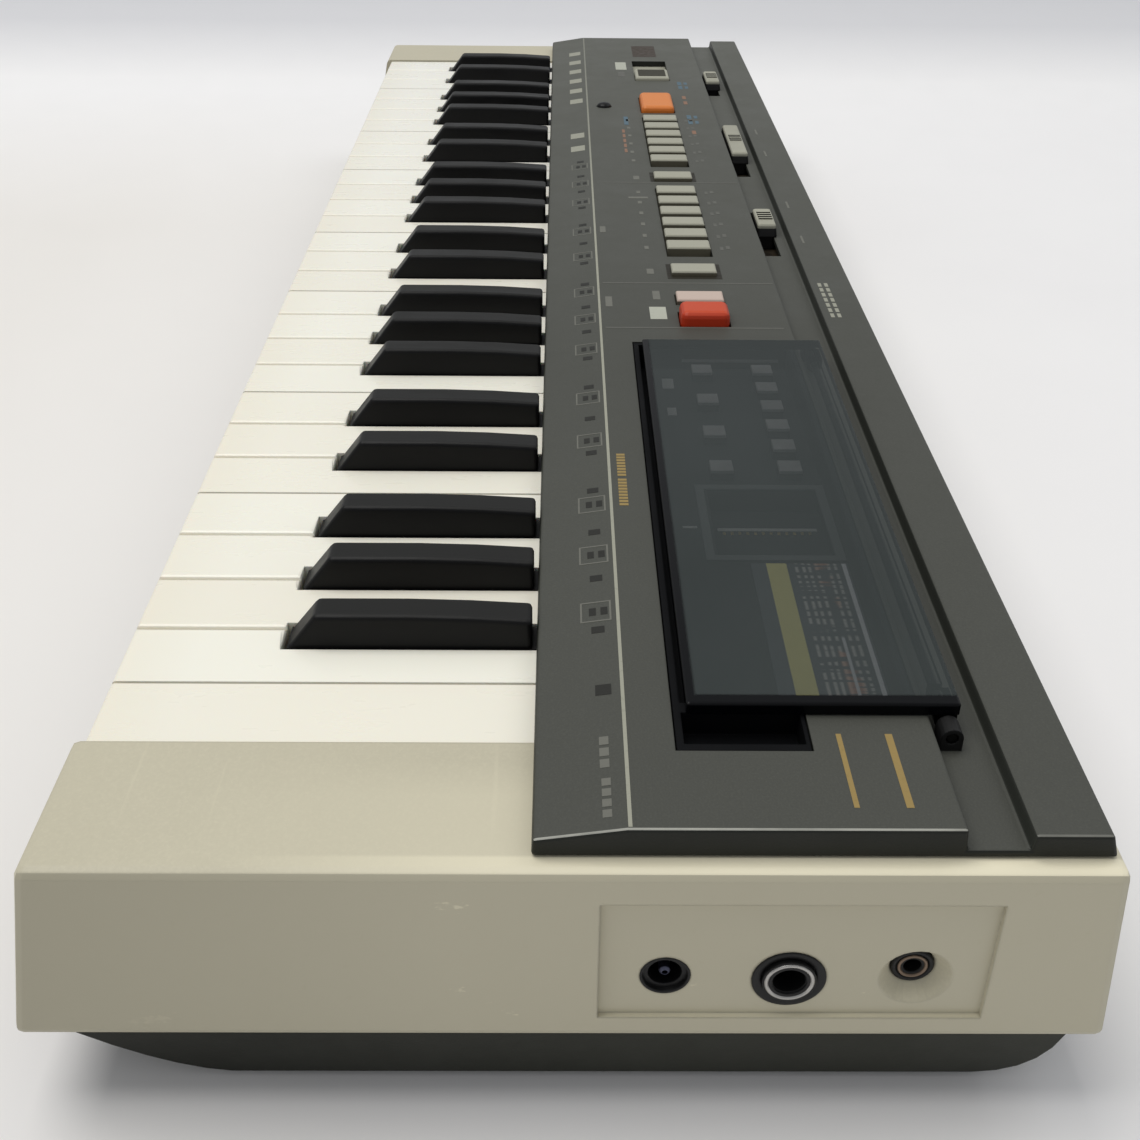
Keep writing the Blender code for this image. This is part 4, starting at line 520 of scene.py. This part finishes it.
def key_black():
    """Black keys: satin black, with painted sheen greying the crown and a painted highlight on the
    edges.
    """
    s = Shader("black_key", 0.4, gloss=0.18)
    s.colour(s.mix(s.clouds(24.0, 4.0, 0.6), tint(8, 8, 9), tint(13, 13, 14)))
    normal = s.rounded(0.8)
    # Painted reflection: upward faces are greyed as sheen from the bright room.
    s.paint(s.facing("Z", 0.8, 0.98, 0.0, 0.8), tint(33, 33, 31))
    # Painted highlight along the rounded edges.
    s.paint(s.math("MULTIPLY", s.edges(normal), 0.35), tint(40, 40, 40))
    s.rough(s.clouds(90.0, 4.0, 0.7, (1.0, 0.3, 1.0), 0.32, 0.5))
    s.bump(s.noise(1300.0), 0.22, 0.05, normal)
    return s.mat


def plated(name, colour, rough):
    s = Shader(name, rough, metal=1.0)
    s.colour(s.mix(s.clouds(70.0, 4.0, 0.6), scaled(colour, 0.82), colour))
    s.rough(s.clouds(160.0, 4.0, 0.7, out_low=rough * 0.7, out_high=rough * 1.4))
    s.bump(s.noise(900.0), 0.12, 0.04, s.rounded(0.25))
    return s.mat


def ink(name, colour, rough):
    """Screened ink with thin spots."""
    s = Shader(name, rough, gloss=0.25)
    thin = s.ramp(s.noise(900.0, 3.0, 0.7), 0.55, 0.8, 0.0, 0.35)
    s.colour(s.mix(thin, colour, scaled(colour, 0.6)))
    s.rough(s.clouds(500.0, out_low=rough * 0.85, out_high=rough * 1.15))
    s.bump(s.noise(1800.0), 0.2, 0.03)
    return s.mat


def crease_look():
    """A painted highlight along the crease, patchy and dimmer towards the bass end."""
    s = Shader("crease_line", 0.5, gloss=0.25)
    # Painted highlight: a pale strip where the crease catches the light, dimmed towards the bass end.
    thin = s.ramp(s.noise(900.0, 3.0, 0.7), 0.55, 0.8, 0.0, 0.35)
    s.colour(s.mix(thin, tint(156, 156, 141), tint(110, 110, 100)))
    s.paint(s.along("X", 20.0, -250.0, 0.0, 0.8), tint(116, 117, 108))
    s.rough(s.clouds(500.0, out_low=0.42, out_high=0.58))
    s.bump(s.noise(1800.0), 0.2, 0.03)
    return s.mat


def board_look():
    """A brown circuit board with pale copper runs under its lacquer."""
    s = Shader("circuit_board", 0.5, coat=0.2)
    runs = s.ramp(s.cell_borders(260.0, (1.0, 0.35, 1.0)), 0.05, 0.09)
    s.colour(s.mix(runs, tint(46, 38, 26), tint(34, 29, 21)))
    s.rough(s.clouds(200.0, out_low=0.4, out_high=0.6))
    s.bump(runs, 0.3, 0.04)
    return s.mat


def smoked_lid():
    """A smoked lid: see-through in its field, solid black along its border and edges.

    Only the upper face tints what lies below, so the smoke isn't counted twice."""
    s = Shader("smoked_lid", 0.16, gloss=0.15)
    side = s.ramp(s.turned("Z"), 0.75, 0.6)
    border = s.any_of(s.along("X", 290.8, 291.4), s.along("Y", 26.2, 25.6), side)
    smoke = s.mix(s.clouds(12.0, 3.0, 0.6), tint(58, 64, 63), tint(66, 72, 71))
    s.colour(s.mix(border, smoke, tint(4, 5, 7)))
    upper_face = s.along("Z", 71.6, 71.8, 0.0, 0.66)
    s.feed(s.bsdf.inputs["Alpha"], s.any_of(border, upper_face))
    s.rough(s.clouds(22.0, 4.0, 0.6, out_low=0.15, out_high=0.24))
    s.bump(s.noise(30.0), 0.02, 0.2, s.rounded(0.4))
    return s.mat


def capped_knob():
    """A slider knob: black body with a pale grey top."""
    s = Shader("slider_knob", 0.45, gloss=0.3)
    cap = s.all_of(s.along("Z", 68.2, 68.4), s.facing("Z", 0.05, 0.3))
    s.colour(s.mix(cap, BLACK, s.mix(s.clouds(40.0, 3.0, 0.6), scaled(LIGHT, 0.85), LIGHT)))
    normal = s.rounded(0.35)
    # Paler cap edges: partly wear, partly a painted highlight on the rounded rim.
    wear_and_highlight = s.all_of(cap, s.edges(normal), s.clouds(200.0, out_low=0.3, out_high=0.6))
    s.paint(wear_and_highlight, scaled(LIGHT, 1.2))
    s.rough(s.clouds(200.0, 3.0, out_low=0.38, out_high=0.52))
    s.bump(s.noise(1400.0), 0.2, 0.05, normal)
    return s.mat


def switch_look():
    """The power switch's knob: pale above, with painted shade where it goes down into its opening."""
    s = moulded("switch_knob", LIGHT, rough=0.45, grain=0.2, edge=0.6, vary=0.06, worn_and_lit=1.4, gloss=0.3)
    # Painted shade: darker towards the opening it sinks into.
    s.paint(s.along("Z", 66.0, 65.5), tint(26, 26, 24))
    return s.mat


def card_look():
    """A plain printed card under the lid: olive band, rows of small marks and pale rules."""
    s = Shader("legend_card", 0.45, gloss=0.3)
    s.colour(s.mix(s.clouds(60.0), tint(62, 66, 70), tint(76, 80, 84)))
    rows = [s.within("Y", y, y + CARD_ROW_WIDTH, soft=0.2) for y in CARD_ROWS_Y]
    broken = s.ramp(s.noise(520.0, stretch=(1.0, 0.06, 0.06)), 0.46, 0.50)
    s.paint(s.math("MULTIPLY", s.all_of(s.any_of(*rows), broken), 0.7), tint(196, 194, 188))
    patches = s.ramp(s.noise(90.0), 0.52, 0.58)
    rust = s.all_of(s.within("Y", 60.0, 63.6, soft=0.3), broken, patches)
    s.paint(s.math("MULTIPLY", rust, 0.6), tint(196, 130, 96))
    s.paint(s.within("Y", 48.6, 53.4), tint(214, 208, 128))
    s.paint(s.all_of(s.within("Y", 66.6, 67.6), s.along("X", 223.6, 224.2)), tint(206, 208, 212))
    s.paint(s.all_of(s.within("Y", 61.5, 62.2), s.along("X", 256.0, 257.0)), tint(190, 192, 196))
    s.rough(s.clouds(200.0, out_low=0.4, out_high=0.55))
    s.bump(s.noise(1500.0), 0.1, 0.03)
    return s.mat


def finished(bm, name, look, body="case", smooth=False):
    """Turns a mesh in millimetres into a piece that rides on a body."""
    bmesh.ops.recalc_face_normals(bm, faces=bm.faces)
    bmesh.ops.scale(bm, vec=(MM,) * 3, verts=bm.verts)
    mesh = bpy.data.meshes.new(name)
    bm.to_mesh(mesh)
    bm.free()
    obj = bpy.data.objects.new(name, mesh)
    scene.collection.objects.link(obj)
    mesh.materials.append(looks[look])
    if smooth:
        mesh.shade_smooth()
        mesh.set_sharp_from_angle(angle=math.radians(40))
    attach(obj, body)


def add_box(bm, low, high):
    made = bmesh.ops.create_cube(bm, size=1.0)["verts"]
    low, high = Vector(low), Vector(high)
    for v in made:
        v.co = low + Vector([(v.co[k] + 0.5) * (high[k] - low[k]) for k in range(3)])
    return made


def add_lathe(bm, centre, axis, profile, sides):
    """A closed ring or disc turned about X or Z: profile holds (along, radius) pairs."""
    rings = []
    for along, radius in profile:
        ring = []
        for k in range(sides):
            a = 2 * math.pi * k / sides
            u, w = radius * math.cos(a), radius * math.sin(a)
            co = (along, u, w) if axis == "X" else (u, w, along)
            ring.append(bm.verts.new(Vector(centre) + Vector(co)))
        rings.append(ring)
    for i, ring in enumerate(rings):
        after = rings[(i + 1) % len(rings)]
        for k in range(sides):
            bm.faces.new((ring[k], ring[(k + 1) % sides], after[(k + 1) % sides], after[k]))


def slope_z(y):
    """Height of the panel's front slope above the ground."""
    return SLOPE_LOW_Z + (FLAT_Z - SLOPE_LOW_Z) * (y - PANEL_Y) / (CREASE_Y - PANEL_Y)


def on_slope(bm, x0, x1, y0, y1):
    """A thin print that lies on the sloped strip."""
    for v in add_box(bm, (x0, y0, 0), (x1, y1, 1)):
        v.co.z = slope_z(v.co.y) + (PRINT if v.co.z > 0.5 else -SUNK)


def on_level(bm, x0, x1, y0, y1, z, proud=PRINT):
    """A thin print or plate that lies on a level surface."""
    add_box(bm, (x0, y0, z - SUNK), (x1, y1, z + proud))


def on_flat(bm, x0, x1, y0, y1):
    on_level(bm, x0, x1, y0, y1, FLAT_Z)


def on_bar(bm, x0, x1, y0, y1):
    on_level(bm, x0, x1, y0, y1, BAR_Z)


def lay(bm, put, marks, x=0.0):
    """Lays each mark with its X counted from x."""
    for x0, x1, y0, y1 in marks:
        put(bm, x + x0, x + x1, y0, y1)


def lay_frame(bm, put, mark, width, x=0.0):
    """The four sides of a rectangular frame."""
    x0, x1, y0, y1 = mark
    lay(bm, put, ((x0, x1, y0, y0 + width), (x0, x1, y1 - width, y1),
                  (x0, x0 + width, y0 + width, y1 - width),
                  (x1 - width, x1, y0 + width, y1 - width)), x)


def lay_dashes(bm, put, rows):
    """Rows of equal marks along X."""
    for x0, x1, y0, y1, count, gap in rows:
        step = (x1 - x0 + gap) / count
        for i in range(count):
            put(bm, x0 + i * step, x0 + (i + 1) * step - gap, y0, y1)


def panel_lines():
    """A painted highlight along the crease, and the faint lines between the panel's sections."""
    bm = bmesh.new()
    # Painted highlight: a pale strip along the crease.
    on_flat(bm, PANEL_FAR_X + 1.5, PANEL_NEAR_X - 0.8, CREASE_Y + 0.12, CREASE_Y + 0.85)
    finished(bm, "crease_line", "crease")
    bm = bmesh.new()
    for x, start, end in SECTION_LINES:
        on_flat(bm, x, x + 0.8, CREASE_Y + start, end)
    finished(bm, "section_lines", "faint_print")


def key_guide():
    """Plain marks on the slope over the keys, framed over the black ones."""
    light, frames, faint, dark = bmesh.new(), bmesh.new(), bmesh.new(), bmesh.new()
    for i in range(WHITE_KEYS):
        x = KEYS_FAR + (i + 0.5) * KEY_PITCH
        place = i % KEYS_IN_OCTAVE
        if i in PALE_MARKED_KEYS:
            lay(light, on_slope, (PALE_KEY_MARK,), x)
        if i in DARK_MARKED_KEYS:
            lay(dark, on_slope, (DARK_KEY_MARK,), x)
        if i in DARK_MARKED_KEYS and place in SHARP_PLACES:
            sharp = KEYS_FAR + (i + 1) * KEY_PITCH + SHARP_PLACES[place]
            lay_frame(frames, on_slope, SHARP_FRAME, FRAME_WIDTH, sharp)
            lay(dark, on_slope, SHARP_MARKS, sharp)
    lay(dark, on_slope, (END_MARK,))
    lay_dashes(faint, on_slope, SLOPE_DASHES)
    finished(light, "key_marks_light", "print")
    finished(frames, "key_mark_frames", "dim_print")
    finished(faint, "key_marks_faint", "dim_print")
    finished(dark, "key_marks_dark", "dark_print")


def button_marks():
    """Small plain marks beside the buttons, and the dark plates round the single bars."""
    light, dim, faint, dark = bmesh.new(), bmesh.new(), bmesh.new(), bmesh.new()
    for first in BANKS_X:
        for i in range(BARS):
            x = first + BAR_STEP * i
            lay(dim, on_flat, (BAR_MARK,), x)
            lay(faint, on_flat, BAR_FAR_MARKS, x)
    for x in SINGLE_BARS_X:
        lay(dim, on_flat, (SINGLE_BAR_MARK,), x)
    lay(dim, on_flat, DIM_MARKS)
    lay(light, on_flat, PALE_MARKS)
    lay(faint, on_flat, (FAINT_MARK,))
    lay(dark, on_flat, BAR_PLATES)
    finished(dark, "bar_plates", "bar_plate")
    finished(light, "button_marks_light", "white_print")
    finished(dim, "button_marks_dim", "dim_print")
    finished(faint, "button_marks_faint", "faint_print")


def mode_marks():
    """The brown plate behind the power switch, and the blue and orange marks near it."""
    bm = bmesh.new()
    lay(bm, on_flat, (SWITCH_PLATE,))
    finished(bm, "switch_plate", "brown")
    blue, orange = bmesh.new(), bmesh.new()
    for x in BLUE_X:
        lay(blue, on_flat, BLUE_MARKS, x)
    for x in ORANGE_X:
        lay(orange, on_flat, (ORANGE_MARK,), x)
    lay(blue, on_flat, (BLUE_RULE,))
    lay_dashes(orange, on_flat, ORANGE_DASHES)
    finished(blue, "mode_marks_blue", "blue_print")
    finished(orange, "mode_marks_orange", "orange_print")


def gold_rules():
    """Plain gold dashes in front of the lid, and two gold rules beside it."""
    bm = bmesh.new()
    lay_dashes(bm, on_flat, GOLD_DASHES)
    lay(bm, on_flat, GOLD_RULES)
    finished(bm, "gold_rules", "gold")


def bar_marks():
    """Short dim rules and two rows of pale dashes on the rear bar."""
    dim, light = bmesh.new(), bmesh.new()
    for x in REAR_X:
        lay(dim, on_bar, (REAR_RULE,), x)
    lay_dashes(light, on_bar, REAR_DASHES)
    finished(dim, "bar_marks", "dim_print")
    finished(light, "bar_dashes", "print")


def window_lens():
    """The dark domed lens in the small round recess."""
    bm = bmesh.new()
    profile = [(-0.3, 3.3), (1.6, 3.3), (2.3, 2.9), (2.8, 2.0), (3.0, 0.9), (3.05, 0.1), (-0.3, 0.1)]
    add_lathe(bm, (LENS_X, LENS_Y, FLAT_Z - LENS_DEPTH), "Z", profile, sides=40)
    finished(bm, "window_lens", "lens", smooth=True)


def switch_inlay():
    """The dark plate let into the top of the power switch knob."""
    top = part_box("power_switch")[1].z / MM
    x0, x1, y0, y1 = SWITCH_INLAY
    bm = bmesh.new()
    add_box(bm, (x0, y0, top - 0.9), (x1, y1, top + 0.2))
    rim = [e for e in bm.edges if all(v.co.z > top for v in e.verts)]
    bmesh.ops.bevel(bm, geom=rim, offset=0.25, segments=2, profile=0.5, affect="EDGES")
    finished(bm, "power_switch_inlay", "dark_inlay", body="power_switch")


def socket_ring(name, look, centre, profile, sides=48):
    bm = bmesh.new()
    add_lathe(bm, (SOCKET_X, *centre), "X", profile, sides)
    finished(bm, name, look, smooth=True)


def sockets():
    """Plated rings, lined bores and the contact pin of the three sockets."""
    socket_ring("phones_ring", "silver", PHONES,
                [(-2.0, 4.7), (0.95, 4.7), (1.12, 4.5), (1.12, 4.15), (0.7, 3.75), (-2.0, 3.7)])
    socket_ring("phones_liner", "black", PHONES,
                [(-9.0, 3.65), (0.5, 3.65), (0.5, 3.1), (-9.0, 3.05)])
    socket_ring("phones_collar", "black", PHONES,
                [(-2.0, 6.95), (0.25, 6.95), (0.35, 6.5), (0.0, 5.2), (-2.0, 4.8)])
    socket_ring("output_collar", "black", OUTPUT,
                [(-5.0, 4.1), (-2.9, 4.1), (-2.6, 3.8), (-2.6, 3.3), (-3.0, 2.95), (-5.0, 2.95)])
    socket_ring("output_ring", "bronze", OUTPUT,
                [(-4.0, 2.9), (-2.65, 2.9), (-2.5, 2.75), (-2.5, 2.4), (-2.7, 2.2), (-4.0, 2.15)])
    socket_ring("output_liner", "black", OUTPUT,
                [(-9.0, 2.12), (-2.9, 2.12), (-2.9, 1.72), (-9.0, 1.7)])
    socket_ring("supply_collar", "black", SUPPLY,
                [(-5.0, 4.75), (0.1, 4.75), (0.1, 4.3), (-0.9, 4.05), (-5.0, 4.05)])
    socket_ring("supply_pin", "pin", SUPPLY,
                [(-6.0, 1.08), (-1.2, 1.08), (-0.7, 0.6), (-6.0, 0.6)], sides=20)


def pack_details():
    """The legend card, the bay's marks, and the pocket's rim and contacts under the lid."""

    def on_bay_floor(bm, x0, x1, y0, y1):
        on_level(bm, x0, x1, y0, y1, BAY_FLOOR_Z, proud=0.35)

    bm = bmesh.new()
    on_level(bm, *CARD, BAY_FLOOR_Z, proud=0.3)
    finished(bm, "legend_card", "card")
    bm = bmesh.new()
    lay_frame(bm, on_bay_floor, POCKET_RIM, RIM_WIDTH)
    finished(bm, "pocket_rim", "rim_plate")
    bm = bmesh.new()
    for mark in BAY_MARKS:
        on_level(bm, *mark, BAY_FLOOR_Z, proud=0.15)
    finished(bm, "bay_marks", "bay_print")
    bm = bmesh.new()
    on_level(bm, *CONTACT_STRIP, POCKET_FLOOR_Z, proud=0.12)
    finished(bm, "contact_strip", "bay_print")
    bm = bmesh.new()
    for i in range(PADS):
        y = FIRST_PAD_Y + PAD_STEP * i
        on_level(bm, *PAD_X, y, y + PAD_WIDTH, POCKET_FLOOR_Z, proud=0.2)
    finished(bm, "contact_pads", "contact")


def underside():
    """Rubber pads under the feet, and screws in the tray whose cross slots are painted shade."""
    pad = [(0.02, 6.6), (0.9, 6.9), (1.2, 6.2), (1.2, 0.3), (0.02, 0.3)]
    head = [(0.3, 3.1), (-0.1, 3.1), (-0.45, 2.6), (-0.6, 1.6), (-0.64, 0.3), (0.3, 0.3)]
    cross = (((-1.7, -0.28, -0.7), (1.7, 0.28, -0.4)), ((-0.28, -1.7, -0.7), (0.28, 1.7, -0.4)))
    bm = bmesh.new()
    for x in FEET_X:
        for y in FEET_Y:
            add_lathe(bm, (x, y, 0), "Z", pad, sides=32)
    finished(bm, "foot_pads", "rubber", smooth=True)
    heads, slots = bmesh.new(), bmesh.new()
    for x, y in SCREWS:
        add_lathe(heads, (x, y, TRAY_Z), "Z", head, sides=24)
        turn = Matrix.Rotation(0.7 * x + y, 4, "Z")
        for low, high in cross:
            for v in add_box(slots, low, high):
                v.co = Vector((x, y, TRAY_Z)) + turn @ v.co
    finished(heads, "screw_heads", "screw", smooth=True)
    # Painted shade: the cross slots are dark boxes set into the heads, not cut into them.
    finished(slots, "screw_slots", "dark_print")


def make_table():
    """A pale sheet, with painted shade darker and warmer in front of the keys, a band of painted
    light further back, and greyer far behind the bass end.
    """
    bm = bmesh.new()
    bmesh.ops.create_grid(bm, x_segments=2, y_segments=2, size=6.0)
    mesh = bpy.data.meshes.new("table_top")
    bm.to_mesh(mesh)
    bm.free()
    table = bpy.data.objects.new("table_top", mesh)
    table.location.z = -0.0002
    scene.collection.objects.link(table)
    s = Shader("table_sheet", 0.6, gloss=0.2)
    s.colour(s.mix(s.clouds(5.0, 3.0, out_high=0.5), tint(243, 242, 241), tint(236, 234, 234)))
    # Painted shade: darker and warmer in front of the keys.
    s.paint(s.along("Y", -20.0, -240.0), tint(233, 230, 225))
    # Painted light: a brighter band further back.
    s.paint(s.along("X", -200.0, -480.0), tint(247, 246, 245))
    s.paint(s.along("X", -520.0, -720.0), tint(222, 222, 224))
    s.paint(s.along("X", -750.0, -1300.0), tint(212, 213, 216))
    s.rough(s.clouds(40.0, out_low=0.55, out_high=0.7))
    mesh.materials.append(s.mat)


def make_light():
    """A soft even room, a large lamp over the keys and a weak one from behind."""
    world = bpy.data.worlds.new("studio")
    scene.world = world
    world.use_nodes = True
    back = world.node_tree.nodes["Background"]
    back.inputs["Color"].default_value = (0.95, 0.97, 1.0, 1.0)
    back.inputs["Strength"].default_value = 0.46
    for name, (place, size, power, colour) in LAMPS.items():
        data = bpy.data.lights.new(name, "AREA")
        data.shape = "SQUARE"
        data.size = size
        data.energy = power
        data.color = colour
        lamp = bpy.data.objects.new(name, data)
        scene.collection.objects.link(lamp)
        lamp.location = place
        aim = Vector(LAMPS_AIM) - Vector(place)
        lamp.rotation_euler = aim.to_track_quat("-Z", "Y").to_euler()


def make_camera():
    """Near the treble end, looking down along the keys."""
    level = math.cos(PITCH)
    ahead = Vector((-level * math.cos(YAW), level * math.sin(YAW), -math.sin(PITCH)))
    right = Vector((math.sin(YAW), math.cos(YAW), 0.0))
    up = right.cross(ahead)
    side = right * math.cos(ROLL) + up * math.sin(ROLL)
    top = up * math.cos(ROLL) - right * math.sin(ROLL)
    data = bpy.data.cameras.new("camera")
    data.lens = 44.2
    data.sensor_width = 36.0
    data.clip_start = 0.01
    camera = bpy.data.objects.new("camera", data)
    scene.collection.objects.link(camera)
    turn = Matrix((side, top, -ahead)).transposed().to_4x4()
    camera.matrix_world = Matrix.Translation(CAMERA_PLACE) @ turn
    scene.camera = camera


# The single keys aren't listed: they are white, or black where the name ends in _sharp.
NODE_LOOKS = {
    "upper_case": "case", "lower_case": "tray", "battery_door": "tray", "control_panel": "panel",
    "pack_tray": "bay", "pack_lid": "lid", "hinge_rod": "rod", "volume_slider": "knob",
    "mode_slider": "knob", "tempo_slider": "knob", "start_button": "red", "chord_button": "orange",
    "power_switch": "switch", "tone_buttons": "tone", "rhythm_buttons": "light",
    "key_chassis": "steel", "circuit_board": "board", "speaker": "inside", "dc_jack": "black",
    "phones_jack": "black", "output_jack": "black", "low_white_keys": "white_key",
    "low_black_keys": "black_key",
}


def dress_nodes():
    for name, node in nodes.items():
        look = NODE_LOOKS.get(name) or ("black_key" if name.endswith("_sharp") else "white_key")
        node.data.materials.clear()
        node.data.materials.append(looks[look])
        for face in node.data.polygons:
            face.material_index = 0


make_looks()
dress_nodes()
panel_lines()
key_guide()
button_marks()
mode_marks()
gold_rules()
bar_marks()
window_lens()
switch_inlay()
sockets()
pack_details()
underside()
make_table()
make_light()
make_camera()
scene.view_settings.view_transform = "Standard"
